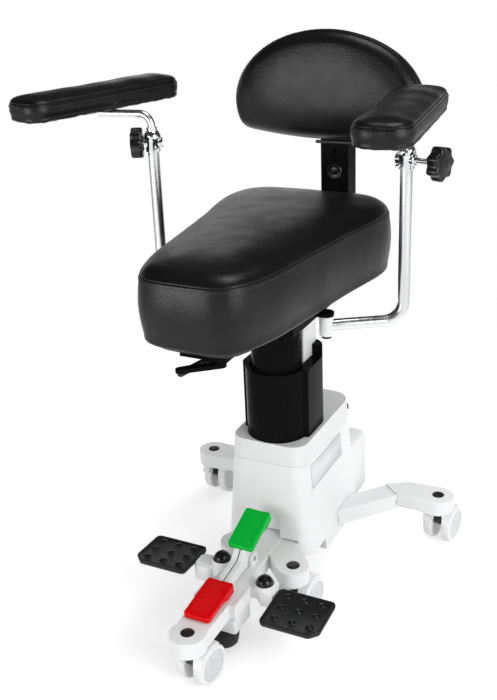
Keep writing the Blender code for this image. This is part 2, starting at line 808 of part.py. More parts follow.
def build_rear_cover():
    cover = box("rear_cover", (-COVER_HALF, COVER_FRONT, COVER_BOTTOM), (COVER_HALF, COVER_REAR, COVER_TOP))
    rounded(cover, COVER_ROUND)
    floor = COVER_BOTTOM + TOWER_WALL
    room = box("cover_room", (TOWER_WALL - COVER_HALF, COVER_FRONT - COVER_ROUND, floor),
               (COVER_HALF - TOWER_WALL, COVER_REAR - TOWER_WALL, COVER_TOP - TOWER_WALL))
    rounded(room, COVER_ROUND - TOWER_WALL)
    cut(cover, room, tower("cover_seat", COVER_BOTTOM - TOWER_WALL, COVER_TOP + TOWER_WALL, -GAP))
    finish(cover, WHITE)
    front = TOWER_REAR[0] + GAP
    battery = box("battery_pack", (-BATTERY_HALF, front, floor + GAP),
                  (BATTERY_HALF, front + BATTERY_LENGTH, floor + GAP + BATTERY_HEIGHT))
    finish(battery, BLACK)


def build_label():
    """A bare plate on the sloping right side of the housing."""
    lean = -atan2(TOWER_HALF[0] - TOWER_HALF[1], TOWER_HIGH - TOWER_LOW)
    half = Vector((LABEL_THICK, LABEL_LENGTH, LABEL_HEIGHT)) / 2
    plate = box("label_plate", -half, half)
    plate.rotation_euler = (0.0, lean, 0.0)
    away = (GAP + LABEL_THICK / 2) / cos(lean)
    plate.location = (tower_half(LABEL_Z) + away, LABEL_Y, LABEL_Z)
    finish(plate, WHITE)


def build_front_arm():
    tip = CASTERS["front"]
    slope = acos(FRONT_HALF / LEG_HEAD_R)
    rear = PLATE_FRONT - GAP
    bar = [(FRONT_HALF, rear), (-FRONT_HALF, rear), *arc(tip, LEG_HEAD_R, pi - slope, 2 * pi + slope, 16)]
    arm = prism("front_arm", bar, LEG_BOTTOM, LEG_TOP)
    fuse(arm, box("brake_land", (-BRAKE_HALF, BRAKE_Y - BRAKE_LENGTH / 2, LEG_BOTTOM + LUG_DROP),
                  (BRAKE_HALF, BRAKE_Y + BRAKE_LENGTH / 2, LEG_TOP - LUG_DROP)))
    for side_name, side in SIDES.items():
        root = (side * LUG_ROOT[0], LUG_ROOT[1])
        lug = capsule(root, CASTERS["front_" + side_name], LUG_R)
        post = POSTS[side_name]
        tab = capsule((0.0, post[1]), post, POST_FOOT_R - SLIDE)
        ear_low = side * (ROCKER_HALF + EAR_GAP)
        ear_high = ear_low + side * EAR_WALL
        ear = arc((ROCKER_Y, ROCKER_Z), EAR_R, 0.0, pi, 8) + [(ROCKER_Y - EAR_R, PLATE_BOTTOM),
                                                              (ROCKER_Y + EAR_R, PLATE_BOTTOM)]
        drop = LUG_DROP * (1.5 + side / 2)
        fuse(arm, prism("lug_" + side_name, lug, LEG_BOTTOM + drop, LEG_TOP - drop),
             prism("tab_" + side_name, tab, LEG_BOTTOM + TAB_DROP, LEG_TOP - TAB_DROP),
             prism("ear_" + side_name, ear, min(ear_low, ear_high), max(ear_low, ear_high), 'X'))
    for side_name in SIDES:
        cut(arm, stem_hole("stem_hole_" + side_name, *CASTERS["front_" + side_name]),
            post_body("post_hole_" + side_name, side_name, GAP))
    ends = PEDAL_HALF
    cut(arm, stem_hole("stem_hole_front", *tip),
        rod("ear_hole", (-ends, ROCKER_Y, ROCKER_Z), (ends, ROCKER_Y, ROCKER_Z), ROCKER_PIN_R + GAP))
    finish(arm, WHITE)


def build_rear_legs():
    heading = Vector((sin(RAIL_HEADING), cos(RAIL_HEADING)))
    across = Vector((heading.y, -heading.x))
    start = Vector(RAIL_POINT) - heading * RAIL_INSIDE
    end = Vector(RAIL_POINT) + heading * RAIL_LENGTH
    half = RAIL_WIDTH / 2
    mid_z = (RAIL_BOTTOM + RAIL_TOP) / 2
    hub = CASTERS["rear_right"]
    joint = end + heading * GAP
    head_outline = [tuple(joint + across * half), HEAD_FRONT_CORNER,
                    *arc(hub, LEG_HEAD_R, -pi / 2, pi / 2, 12), HEAD_REAR_CORNER, tuple(joint - across * half)]
    rail_outline = [tuple(p) for p in (start - across * half, start + across * half,
                                       end + across * half, end - across * half)]
    for side_name, side in SIDES.items():
        rail = prism("rail_" + side_name, mirrored(rail_outline, side), RAIL_BOTTOM, RAIL_TOP)
        for edge in (1, -1):
            low = across * edge * (half - GROOVE_DEPTH)
            high = across * edge * (half + GROOVE_DEPTH)
            past = end + heading * GROOVE_DEPTH
            strip = [tuple(p) for p in (start + low, start + high, past + high, past + low)]
            cut(rail, prism(f"groove_{side_name}_{edge}", mirrored(strip, side),
                            mid_z - GROOVE_HEIGHT / 2, mid_z + GROOVE_HEIGHT / 2))
        cut(rail, tower("rail_seat_" + side_name, TOWER_LOW, ROOT_TOP, -GAP))
        finish(rail, WHITE)
        head = prism("head_" + side_name, mirrored(head_outline, side), LEG_BOTTOM, LEG_TOP)
        cut(head, stem_hole("stem_hole_rear_" + side_name, *CASTERS["rear_" + side_name]))
        finish(head, WHITE)


# Brake

def pedal_slab(name, rear, front):
    """A foot plate between two top edges in side view, with a skirt down each side."""
    along = (Vector(front) - Vector(rear)).normalized()
    down = Vector((-along.y, along.x))
    if down.y > 0:
        down = -down
    rear, front = Vector(rear), Vector(front)
    plate = [rear, front, front + down * PEDAL_PLATE, rear + down * PEDAL_PLATE]
    slab = prism(name, [tuple(p) for p in plate], -PEDAL_HALF, PEDAL_HALF, 'X')
    half_plate = down * PEDAL_PLATE / 2
    heel = rear + along * PEDAL_PLATE / 4
    skirt = [heel + half_plate, heel + down * SKIRT_DEPTH, heel + along * SKIRT_REACH / 2 + down * SKIRT_DEPTH,
             heel + along * SKIRT_REACH * 3 / 2 + half_plate]
    for side_name, side in SIDES.items():
        outer = side * (PEDAL_HALF - GAP)
        inner = side * (PEDAL_HALF - SKIRT_WALL)
        fuse(slab, prism(f"{name}_skirt_{side_name}", [tuple(p) for p in skirt],
                         min(inner, outer), max(inner, outer), 'X'))
    return slab


def below(rear, front, y):
    """Height of a seat just under a foot plate at a place along it."""
    slope = (rear[1] - front[1]) / (rear[0] - front[0])
    return rear[1] + slope * (y - rear[0]) - PEDAL_PLATE * sqrt(1 + slope ** 2) - GAP


def build_brake():
    block = box("brake_block", (-BRAKE_HALF, BRAKE_Y - BRAKE_LENGTH / 2, BLOCK_BOTTOM),
                (BRAKE_HALF, BRAKE_Y + BRAKE_LENGTH / 2, LEG_BOTTOM - GAP))
    rounded(block, BLOCK_ROUND)
    cut(block, rod("foot_stem_hole", (0, BRAKE_Y, BLOCK_BOTTOM - FOOT_R), (0, BRAKE_Y, LEG_TOP),
                   FOOT_STEM_R + SLIDE))
    finish(block, WHITE)
    slide = axis("brake_foot", (0, BRAKE_Y, FOOT_BOTTOM))
    knee = FOOT_TOP * 3 / 4
    foot = turned("brake_foot", [(0, FOOT_STEM_TOP), (FOOT_STEM_R, FOOT_STEM_TOP), (FOOT_STEM_R, FOOT_TOP),
                                 (FOOT_R - FOOT_STEM_R, FOOT_TOP), (FOOT_R, knee),
                                 (FOOT_R - SKIRT_WALL / 2, FOOT_TOP / 5), (FOOT_FLAT_R, FOOT_BOTTOM),
                                 (0, FOOT_BOTTOM)], (0, BRAKE_Y, 0), 20)
    ride(finish(foot, RUBBER), slide)
    pin_half = ROCKER_HALF + EAR_GAP + EAR_WALL + EAR_GAP
    pin = rod("rocker_pin", (-pin_half, ROCKER_Y, ROCKER_Z), (pin_half, ROCKER_Y, ROCKER_Z), ROCKER_PIN_R)
    finish(pin, STEEL)
    swing = axis("rocker", (0, ROCKER_Y, ROCKER_Z))
    low = ROCKER_Z - EAR_R + EAR_GAP
    red_toe = RED_REAR[0] - SKIRT_REACH
    green_heel = GREEN_REAR[0] - PEDAL_PLATE * 3
    green_toe = GREEN_FRONT[0] + PEDAL_PLATE
    side_view = [
        (green_heel, below(GREEN_REAR, GREEN_FRONT, green_heel)),
        (green_heel, below(GREEN_REAR, GREEN_FRONT, green_heel) - EAR_R),
        (ROCKER_Y + EAR_R, ROCKER_Z - EAR_GAP), (ROCKER_Y + EAR_R / 2, low), (red_toe, low),
        (red_toe, below(RED_REAR, RED_FRONT, red_toe)),
        (RED_REAR[0], below(RED_REAR, RED_FRONT, RED_REAR[0])),
        (ROCKER_Y - EAR_R * 3, ROCKER_Z + EAR_R), (green_toe, below(GREEN_REAR, GREEN_FRONT, green_toe)),
    ]
    lever = prism("rocker_lever", side_view, -ROCKER_HALF, ROCKER_HALF, 'X')
    cut(lever, rod("lever_hole", (-pin_half, ROCKER_Y, ROCKER_Z), (pin_half, ROCKER_Y, ROCKER_Z),
                   ROCKER_PIN_R + TURN))
    ride(finish(lever, WHITE), swing)
    ride(finish(pedal_slab("red_pedal", RED_REAR, RED_FRONT), RED), swing)
    ride(finish(pedal_slab("green_pedal", GREEN_REAR, GREEN_FRONT), GREEN), swing)


# Height pedals

def post_body(name, side_name, grow=0.0):
    top = DOME_Z[side_name] - DOME_SINK
    profile = [(0, top), (POST_TOP_R + grow, top), (POST_FOOT_R + grow, POST_BOTTOM - grow),
               (0, POST_BOTTOM - grow)]
    return turned(name, profile, (*POSTS[side_name], 0.0), 16)


def build_height_pedals():
    for side_name, side in SIDES.items():
        post_x, post_y = POSTS[side_name]
        hinge_y, hinge_z = HINGES[side_name]
        centre_x, centre_y = PEDAL_CENTRES[side_name]
        end_x = centre_x - side * (TREAD_WIDTH / 2 + TREAD_GAP)
        post = post_body("pedal_post_" + side_name, side_name)
        fuse(post, box("post_arm_" + side_name,
                       (min(post_x, end_x), hinge_y - BLOCK_HALF, hinge_z - BLOCK_FALL),
                       (max(post_x, end_x), hinge_y + BLOCK_HALF, hinge_z + BLOCK_RISE)),
             rod("post_shaft_" + side_name, ((post_x + end_x) / 2, hinge_y, hinge_z),
                 (centre_x + side * HUB_LENGTH / 2, hinge_y, hinge_z), SHAFT_R))
        finish(post, WHITE)
        base_z = DOME_Z[side_name] - DOME_SINK + GAP
        dome_arc = [(DOME_R * cos(t), base_z + DOME_R * sin(t)) for t in (pi / 2, pi / 3, pi / 6, 0.0)]
        dome = turned("pedal_dome_" + side_name, [(0.0, dome_arc[0][1]), *dome_arc[1:], (0.0, base_z)],
                      (post_x, post_y, 0.0), 16)
        finish(dome, BLACK)
        hinge = axis("foot_pedal_" + side_name, (centre_x, hinge_y, hinge_z))
        ride(finish(foot_pedal(side_name, side), BLACK), hinge)


def foot_pedal(side_name, side):
    """A studded tread on a hub, modelled about its hinge and then tilted."""
    name = "foot_pedal_" + side_name
    hinge_y, hinge_z = HINGES[side_name]
    centre_x, centre_y = PEDAL_CENTRES[side_name]
    half_x, half_y = TREAD_WIDTH / 2, TREAD_LENGTH / 2
    shift = centre_y - hinge_y
    near, far = shift - half_y, shift + half_y
    corner_steps = 3
    outline = rounded_rectangle((-half_x, near), (half_x, far), (TREAD_CORNER,) * 4, corner_steps)
    corner = [(half_x - TREAD_CHAMFER, near), (half_x, near + TREAD_CHAMFER)]
    outline[:corner_steps + 1] = corner
    tread = prism(name, mirrored(outline, side), -TREAD_THICK / 2, TREAD_THICK / 2)
    tread_mid = TREAD_LIFT + TREAD_THICK / 2
    tilt = PEDAL_TILTS[side_name]
    tread.rotation_euler = (tilt, 0.0, 0.0)
    tread.location = (centre_x, hinge_y - sin(tilt) * tread_mid, hinge_z + cos(tilt) * tread_mid)
    hub_half = HUB_LENGTH / 2
    fuse(tread, rod(name + "_hub", (-hub_half, 0, -tread_mid), (hub_half, 0, -tread_mid), HUB_R), inside=True)
    for row in (-1, 0, 1):
        for column in (-1, 0, 1):
            place = (column * STUD_PITCH_X, shift + row * STUD_PITCH_Y)
            stud = rod(f"{name}_stud_{row}_{column}", (*place, 0.0),
                       (*place, TREAD_THICK / 2 + STUD_HEIGHT), STUD_R, 8)
            fuse(tread, stud, inside=True)
    cut(tread, rod(name + "_bore", (-half_x, 0, -tread_mid), (half_x, 0, -tread_mid), SHAFT_R + TURN),
        inside=True)
    return tread


# Column

def build_column():
    sleeve = prism("outer_sleeve", sleeve_outline(), SLEEVE_BOTTOM, SLEEVE_TOP + SLEEVE_RISE)
    wide = SLEEVE_HALF + SLEEVE_WALL
    cut(sleeve, box("sleeve_step", (-wide, -wide, SLEEVE_TOP), (wide, RISE_FRONT, SLEEVE_TOP + SLEEVE_RISE * 2)))
    cut(sleeve, prism("sleeve_bore", bore_outline(), SLEEVE_BOTTOM - BORE_R, SLEEVE_TOP + BORE_R))
    finish(sleeve, BLACK)
    actuator = turned("lift_actuator", [(0, SPINDLE_TOP), (SPINDLE_R, SPINDLE_TOP), (SPINDLE_R, ACTUATOR_TOP),
                                        (ACTUATOR_R, ACTUATOR_TOP), (ACTUATOR_R, ROOT_TOP), (0, ROOT_TOP)],
                      (0, 0, 0), 20)
    finish(actuator, STEEL)


def build_lift(lift):
    top = MECHANISM_BOTTOM - GAP
    tube_body = rod("inner_tube", (0, 0, TUBE_BOTTOM), (0, 0, top), TUBE_R, 28)
    cut(tube_body, rod("tube_bore", (0, 0, TUBE_BOTTOM - TUBE_R), (0, 0, top + TUBE_R), TUBE_BORE_R, 28))
    ride(finish(tube_body, BLACK), lift)
    guide = box("guide_profile", (-GUIDE_HALF, GUIDE_FRONT, TUBE_BOTTOM), (GUIDE_HALF, GUIDE_REAR, top))
    cut(guide, rod("guide_seat", (0, 0, TUBE_BOTTOM - TUBE_R), (0, 0, top + TUBE_R), TUBE_R + GAP, 28))
    ride(finish(guide, WHITE), lift)
    mechanism = box("seat_mechanism", (-MECHANISM_HALF, MECHANISM_FRONT, MECHANISM_BOTTOM),
                    (MECHANISM_HALF, MECHANISM_REAR, MECHANISM_TOP - GAP))
    fuse(mechanism, box("tongue", (TONGUE_LEFT, TONGUE_FRONT, TONGUE_BOTTOM),
                        (TONGUE_RIGHT, MECHANISM_FRONT + GUIDE_FRONT, MECHANISM_TOP)))
    ride(finish(mechanism, BLACK), lift)


# Seat

def seat_outline():
    left = [(-x, y) for x, y in SEAT_HALF_OUTLINE[-2:0:-1]]
    return smooth_closed(SEAT_HALF_OUTLINE + left)


def build_seat(lift):
    outline = seat_outline()
    board_bottom = MECHANISM_TOP + GAP
    board = prism("seat_board", inset_outline(outline, BOARD_INSET), board_bottom, BOARD_TOP)
    ride(finish(board, WOOD), lift)
    low = BOARD_TOP + GAP
    waist = (low + SEAT_SEAM) / 2
    section = [
        (SEAT_FOOT_IN, low), (0.0, low + SEAT_FOOT_IN), (-SEAT_BULGE, waist),
        (0.0, SEAT_SEAM - SEAM_DEPTH * 2), (SEAM_DEPTH, SEAT_SEAM), (0.0, SEAT_SEAM + SEAM_DEPTH * 2),
        (SEAT_EDGE / 3, SEAT_TOP - SEAT_CROWN - SEAT_EDGE / 4), (SEAT_EDGE, SEAT_TOP - SEAT_CROWN),
    ]
    rings = [[(x, y, z) for x, y in inset_outline(outline, inset)] for inset, z in section]
    middle_y = (SEAT_HALF_OUTLINE[0][1] + SEAT_HALF_OUTLINE[-1][1]) / 2
    peak = (0.0, middle_y, SEAT_TOP - SEAT_CROWN)
    rings += crown_rings(rings[-1], [peak] * len(outline), (0.0, 0.0, SEAT_CROWN))
    ride(finish(loft("seat_cushion", rings), LEATHER), lift)
    pivot = axis("seat_lever", (*LEVER_PIVOT, LEVER_BOTTOM), lift)
    lever = prism("seat_lever", lever_outline(), LEVER_BOTTOM, LEVER_BOTTOM + LEVER_THICK)
    fuse(lever, rod("lever_hub", (*LEVER_PIVOT, LEVER_BOTTOM + LEVER_THICK / 2),
                    (*LEVER_PIVOT, TONGUE_BOTTOM - GAP), LEVER_HUB_R - GAP))
    ride(finish(lever, BLACK), pivot)


def lever_outline():
    heading = atan2(LEVER_TIP[1] - LEVER_PIVOT[1], LEVER_TIP[0] - LEVER_PIVOT[0])
    return (arc(LEVER_TIP, LEVER_TIP_R, heading - pi / 2, heading + pi / 2, 5)
            + arc(LEVER_PIVOT, LEVER_HUB_R, heading + pi / 2, heading + 3 * pi / 2, 7))


# Back

def back_outline():
    """Front view of the backrest: a half ellipse over drawn-in lower corners, counterclockwise."""
    rise = BACK_TOP - BACK_MIDDLE
    dome = [(BACK_HALF * cos(pi * i / 18), BACK_MIDDLE + rise * sin(pi * i / 18)) for i in range(19)]
    corner_x, corner_z = BACK_CORNER
    sag = BACK_BOTTOM + (corner_z - BACK_BOTTOM) / 5
    right = [(corner_x / 2, sag), (corner_x * BACK_CORNER_TURN, (corner_z + sag) / 2), (corner_x, corner_z)]
    left = [(-x, z) for x, z in right[::-1]]
    return dome + left + [(0.0, BACK_BOTTOM)] + right


def build_back(lift):
    bracket = box("back_bracket", (-SOCKET_HALF, SOCKET_FRONT, BRACKET_BOTTOM),
                  (SOCKET_HALF, SOCKET_REAR, SOCKET_TOP))
    fuse(bracket, box("bracket_plate", (-BRACKET_HALF, MECHANISM_REAR + GAP, BRACKET_BOTTOM + GAP),
                      (BRACKET_HALF, SOCKET_FRONT + GUIDE_FRONT / 4, BRACKET_TOP)))
    knob_end = SOCKET_REAR + SOCKET_HALF
    cut(bracket, box("bar_room", (-BAR_HALF - SLIDE, BAR_FRONT - SLIDE, SOCKET_FLOOR),
                     (BAR_HALF + SLIDE, BAR_REAR + SLIDE, SOCKET_TOP + BAR_HALF)),
        rod("knob_hole", (0, BAR_REAR - SLIDE, BACK_KNOB_Z), (0, knob_end, BACK_KNOB_Z), KNOB_STEM_R + TURN))
    ride(finish(bracket, BLACK), lift)
    slide = axis("back_bar", (0, HINGE_Y, BAR_BOTTOM), lift)
    bar = box("back_bar", (-BAR_HALF, BAR_FRONT, BAR_BOTTOM), (BAR_HALF, BAR_REAR, BAR_TOP))
    wide = BAR_HALF * 2
    cut(bar, rod("bar_hinge_hole", (-wide, HINGE_Y, HINGE_Z), (wide, HINGE_Y, HINGE_Z), HINGE_PIN_R + TURN),
        rod("bar_hole", (0, BAR_FRONT - BAR_HOLE_DEPTH, BAR_HOLE_Z),
            (0, BAR_FRONT + BAR_HOLE_DEPTH, BAR_HOLE_Z), BAR_HOLE_R))
    ride(finish(bar, BLACK), slide)
    tilt = axis("backrest", (0, HINGE_Y, HINGE_Z), slide)
    ride(finish(back_shell(), BLACK), tilt)
    ride(finish(back_pad(), LEATHER), tilt)
    inner = SOCKET_REAR + BACK_KNOB_OFF
    centre = (0.0, inner + BACK_KNOB_THICK / 2, BACK_KNOB_Z)
    turn = axis("back_knob", centre, lift)
    stem = inner - BAR_REAR - SLIDE - GAP
    ride(knob("back_knob", centre, (0, 1, 0), BACK_KNOB_R, BACK_KNOB_THICK, stem), turn)


def back_shell():
    front = BACK_REAR + GAP
    shell = prism("back_shell", inset_outline(back_outline(), BACK_SHELL_INSET), front, front + BACK_SHELL, 'Y')
    pivot = (HINGE_Y, HINGE_Z)
    for side_name, side in SIDES.items():
        inner = side * (BAR_HALF + HINGE_EAR_GAP)
        outer = inner + side * HINGE_EAR_WALL
        ear = capsule((front + HINGE_EAR_R + BACK_SHELL / 2, HINGE_Z), pivot, HINGE_EAR_R)
        pin_tip = inner - side * (HINGE_EAR_GAP + HINGE_PIN_IN)
        fuse(shell, prism("hinge_ear_" + side_name, ear, min(inner, outer), max(inner, outer), 'X'),
             rod("hinge_pin_" + side_name, (pin_tip, *pivot), ((inner + outer) / 2, *pivot), HINGE_PIN_R))
    return shell


def back_pad():
    outline = back_outline()
    section = [
        (BACK_EDGE / 4, BACK_REAR), (-BACK_BULGE / 2, BACK_REAR - BACK_EDGE / 3),
        (-BACK_BULGE, (BACK_FRONT + BACK_REAR) / 2), (0.0, BACK_FRONT + BACK_CROWN + BACK_EDGE * 2 / 3),
        (BACK_EDGE / 3, BACK_FRONT + BACK_CROWN + BACK_EDGE / 4), (BACK_EDGE, BACK_FRONT + BACK_CROWN),
    ]
    rings = [[(x, y, z) for x, z in inset_outline(outline, inset)] for inset, y in section]
    peak = (0.0, BACK_FRONT + BACK_CROWN, (BACK_TOP + BACK_BOTTOM) / 2)
    rings += crown_rings(rings[-1], [peak] * len(outline), (0.0, -BACK_CROWN, 0.0))
    return loft("back_pad", rings)


def knob(name, centre, direction, radius, thick, stem):
    """A lobed grip with its stem pointing back along the direction."""
    grip = prism(name, star(radius, KNOB_DIP * radius / KNOB_R, KNOB_LOBES), -thick / 2, thick / 2)
    grip.location = centre
    grip.rotation_euler = Vector(direction).to_track_quat('Z', 'Y').to_euler()
    fuse(grip, rod(name + "_stem", (0, 0, -thick / 2 - stem), (0, 0, 0), KNOB_STEM_R), inside=True)
    return finish(grip, BLACK)


# Arms

def build_arms(lift):
    for side_name, side in SIDES.items():
        pivot = (side * ARM_PIVOT[0], ARM_PIVOT[1])
        post = (side * ARM_POST[0], ARM_POST[1])
        swing = axis("arm_" + side_name, (*pivot, ARM_Z), lift)
        turn = axis("pad_" + side_name, (*post, ROD_BOTTOM), swing)
        ride(arm_bracket(side_name, side, pivot), lift)
        ride(arm_post(side_name, pivot, post), swing)
        heading = Vector((cos(KNOB_HEADING[side_name]), sin(KNOB_HEADING[side_name]), 0.0))
        ride(post_clamp(side_name, post, heading), swing)
        centre = Vector((*post, KNOB_Z)) + heading * KNOB_REACH[side_name]
        stem = KNOB_REACH[side_name] - KNOB_THICK / 2 - ARM_R - SLIDE * 2
        grip = knob("clamp_knob_" + side_name, centre, heading, KNOB_R, KNOB_THICK, stem)
        ride(grip, axis("clamp_knob_" + side_name, centre, swing))
        ride(pad_rod(side_name, post), turn)
        ride(arm_pad(side_name), turn)


def arm_bracket(side_name, side, pivot):
    """A plate from the seat mechanism over the arm's hub, with a headed pin down through it."""
    name = "arm_bracket_" + side_name
    low = ARM_Z + ARM_HUB_HALF + SLIDE
    inner = MECHANISM_HALF + GAP
    ear = [(inner, ARM_PIVOT[1] - PIVOT_PLATE_R), *arc(ARM_PIVOT, PIVOT_PLATE_R, -pi / 2, pi / 2, 8),
           (inner, ARM_PIVOT[1] + PIVOT_PLATE_R)]
    bracket = prism(name, mirrored(ear, side), low, low + PIVOT_PLATE)
    head_top = ARM_Z - ARM_HUB_HALF - SLIDE
    fuse(bracket, rod(name + "_pin", (*pivot, head_top - PIVOT_HEAD_THICK / 2), (*pivot, low + PIVOT_PLATE / 2),
                      PIVOT_PIN_R),
         rod(name + "_head", (*pivot, head_top - PIVOT_HEAD_THICK), (*pivot, head_top), PIVOT_HEAD_R))
    return finish(bracket, BLACK)


def arm_post(side_name, pivot, post):
    name = "arm_post_" + side_name
    path = rounded_path([(*pivot, ARM_Z), (*post, ARM_Z), (*post, ARM_TOP)], ARM_BEND)
    body = tube(name, path, ARM_R)
    hub_low, hub_high = ARM_Z - ARM_HUB_HALF, ARM_Z + ARM_HUB_HALF
    fuse(body, rod(name + "_hub", (*pivot, hub_low), (*pivot, hub_high), ARM_HUB_R, 20))
    cut(body, rod(name + "_bore", (*pivot, hub_low - ARM_R), (*pivot, hub_high + ARM_R), PIVOT_PIN_R + TURN))
    return finish(body, CHROME)


def post_clamp(side_name, post, heading):
    name = "post_clamp_" + side_name
    upper = acos(CLAMP_NECK_R / CLAMP_BALL_R)
    lower = -acos(CLAMP_R / CLAMP_BALL_R)
    ball = arc((0.0, CLAMP_BALL_Z), CLAMP_BALL_R, upper, lower, 5)
    profile = [(0, CLAMP_TOP), (CLAMP_NECK_R, CLAMP_TOP), *ball, (CLAMP_R, CLAMP_BOTTOM), (0, CLAMP_BOTTOM)]
    clamp = turned(name, profile, (*post, 0.0), 16)
    level = Vector((*post, KNOB_Z))
    fuse(clamp, rod(name + "_boss", level, level + heading * CLAMP_BOSS_REACH, CLAMP_BOSS_R))
    cut(clamp, rod(name + "_post_bore", (*post, CLAMP_BOTTOM - ARM_R), (*post, ARM_TOP + GAP), ARM_R + GAP, 24),
        rod(name + "_rod_bore", (*post, ROD_BOTTOM - GAP), (*post, CLAMP_TOP + ROD_R), ROD_R + TURN),
        rod(name + "_stem_hole", level + heading * (ARM_R + SLIDE),
            level + heading * (CLAMP_BOSS_REACH + ROD_R), KNOB_STEM_R + TURN))
    return finish(clamp, CHROME)


def pad_rod(side_name, post):
    name = "pad_rod_" + side_name
    heading = ROD_HEADING[side_name]
    reach = ROD_REACH[side_name]
    end = (post[0] + reach * cos(heading), post[1] + reach * sin(heading))
    path = rounded_path([(*post, ROD_BOTTOM), (*post, ROD_Z), (*end, ROD_Z)], ROD_BEND)
    body = tube(name, path, ROD_R)
    half = Vector(PAD_PLATE) / 2
    plate = box(name + "_plate", -half, half)
    plate.location = (*end, PAD_BOTTOM - GAP - half.z)
    plate.rotation_euler = (0.0, 0.0, PAD_YAWS[side_name])
    fuse(body, plate)
    return finish(body, CHROME)


def arm_pad(side_name):
    half_x, half_y = PAD_WIDTH / 2, PAD_LENGTH / 2
    outline = rounded_rectangle((-half_x, -half_y), (half_x, half_y), (PAD_CORNER,) * 4, 5)
    low = PAD_BOTTOM
    shoulder = PAD_TOP - PAD_CROWN
    section = [
        (PAD_EDGE / 3, low), (0.0, low + PAD_EDGE / 2), (PAD_WAIST, (low + shoulder) / 2),
        (0.0, shoulder - PAD_EDGE), (PAD_EDGE / 3, shoulder - PAD_EDGE / 4), (PAD_EDGE, shoulder),
    ]
    rings = [[(x, y, z) for x, y in inset_outline(outline, inset)] for inset, z in section]
    spine = [(0.0, y * (1 - PAD_WIDTH / PAD_LENGTH), shoulder) for x, y, z in rings[-1]]
    rings += crown_rings(rings[-1], spine, (0.0, 0.0, PAD_CROWN))
    pad = loft("arm_pad_" + side_name, rings)
    pad.location = (*PAD_CENTRES[side_name], 0.0)
    pad.rotation_euler = (0.0, 0.0, PAD_YAWS[side_name])
    return finish(pad, LEATHER)


build_casters()
build_base_casting()
build_housing()
build_collar()
build_rear_cover()
build_label()
build_front_arm()
build_rear_legs()
build_brake()
build_height_pedals()
build_column()
LIFT = axis("lift", (0.0, 0.0, SLEEVE_TOP))
build_lift(LIFT)
build_seat(LIFT)
build_back(LIFT)
build_arms(LIFT)
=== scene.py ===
"""Looks of the surgeon stool: finishes, cushions, casters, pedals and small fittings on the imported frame."""

import json
from collections import namedtuple
from math import acos, atan2, cos, exp, pi, radians, sin, sqrt

import bmesh
import bpy
from mathutils import Matrix, Vector, noise
from mathutils.bvhtree import BVHTree


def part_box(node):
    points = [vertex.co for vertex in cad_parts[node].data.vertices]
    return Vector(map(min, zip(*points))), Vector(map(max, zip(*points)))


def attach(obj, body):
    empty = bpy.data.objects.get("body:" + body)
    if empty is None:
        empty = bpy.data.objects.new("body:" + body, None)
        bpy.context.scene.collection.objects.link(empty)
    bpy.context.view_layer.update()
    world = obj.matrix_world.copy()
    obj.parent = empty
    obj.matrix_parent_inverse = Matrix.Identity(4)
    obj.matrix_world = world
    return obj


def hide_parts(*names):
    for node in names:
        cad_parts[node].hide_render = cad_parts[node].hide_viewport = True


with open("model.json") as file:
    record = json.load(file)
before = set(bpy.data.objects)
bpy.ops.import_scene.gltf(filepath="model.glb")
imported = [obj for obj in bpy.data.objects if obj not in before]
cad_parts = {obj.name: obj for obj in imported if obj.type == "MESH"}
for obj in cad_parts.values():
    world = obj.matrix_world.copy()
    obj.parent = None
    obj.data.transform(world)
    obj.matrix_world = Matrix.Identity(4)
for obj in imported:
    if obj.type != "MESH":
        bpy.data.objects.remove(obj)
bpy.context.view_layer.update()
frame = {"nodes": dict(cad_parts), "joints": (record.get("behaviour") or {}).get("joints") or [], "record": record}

# The frame: nodes, their bodies and the joints' points
NODES = frame["nodes"]
BODY_OF = {node: body for body, nodes in frame["record"]["behaviour"]["bodies"].items() for node in nodes}
JOINT_AXIS = {joint["name"]: Vector(joint["axis"]) for joint in frame["joints"]}
JOINT_AT = {joint["name"]: Vector(joint["pos_m"]) for joint in frame["joints"] if "pos_m" in joint}
SIDES = ("right", "left")
SCENE = bpy.context.scene
ACROSS = Vector((1.0, 0.0, 0.0))
FORWARD = Vector((0.0, -1.0, 0.0))
UPWARD = Vector((0.0, 0.0, 1.0))
IN_PLACE = Matrix.Identity(4)

# Camera, at the photograph's angle
IMAGE_HEIGHT = 700
FOCAL_PIXELS = 1012.8
SENSOR = 36.0
CAMERA_PLACE = (0.7556, -1.5849, 1.2429)
CAMERA_YAW = radians(-27.2)
CAMERA_PITCH = radians(23.2)
CAMERA_ROLL = radians(2.5)

# Light: the floor, the plain level around, and each lamp's place, target, width, height and watts
FLOOR_GREY = (0.8, 0.8, 0.8, 1.0)
WHITE_LIGHT = (1.0, 1.0, 1.0, 1.0)
FLOOR_FADE = (0.5, 1.5)
FLOOR_LIFT = 0.45
WORLD_LIGHT = 0.424
LIGHTS = {
    "card_back_left": ((-1.5, 2.6, 1.4), (0.0, 0.0, 0.75), 1.0, 0.7, 2.3),
    "overhead": ((0.4, 0.2, 3.0), (0.0, 0.0, 0.5), 1.2, 1.2, 22.0),
    "fill_right": ((2.4, -1.0, 1.4), (0.0, 0.0, 0.3), 1.8, 1.8, 43.0),
    "fill_front": ((-1.2, -2.6, 0.9), (0.0, 0.0, 0.7), 1.35, 1.2, 27.0),
    "fill_back": ((0.6, 3.0, 1.7), (0.0, 0.0, 0.3), 1.8, 1.8, 28.0),
}
UNMIRRORED = "fill_back"

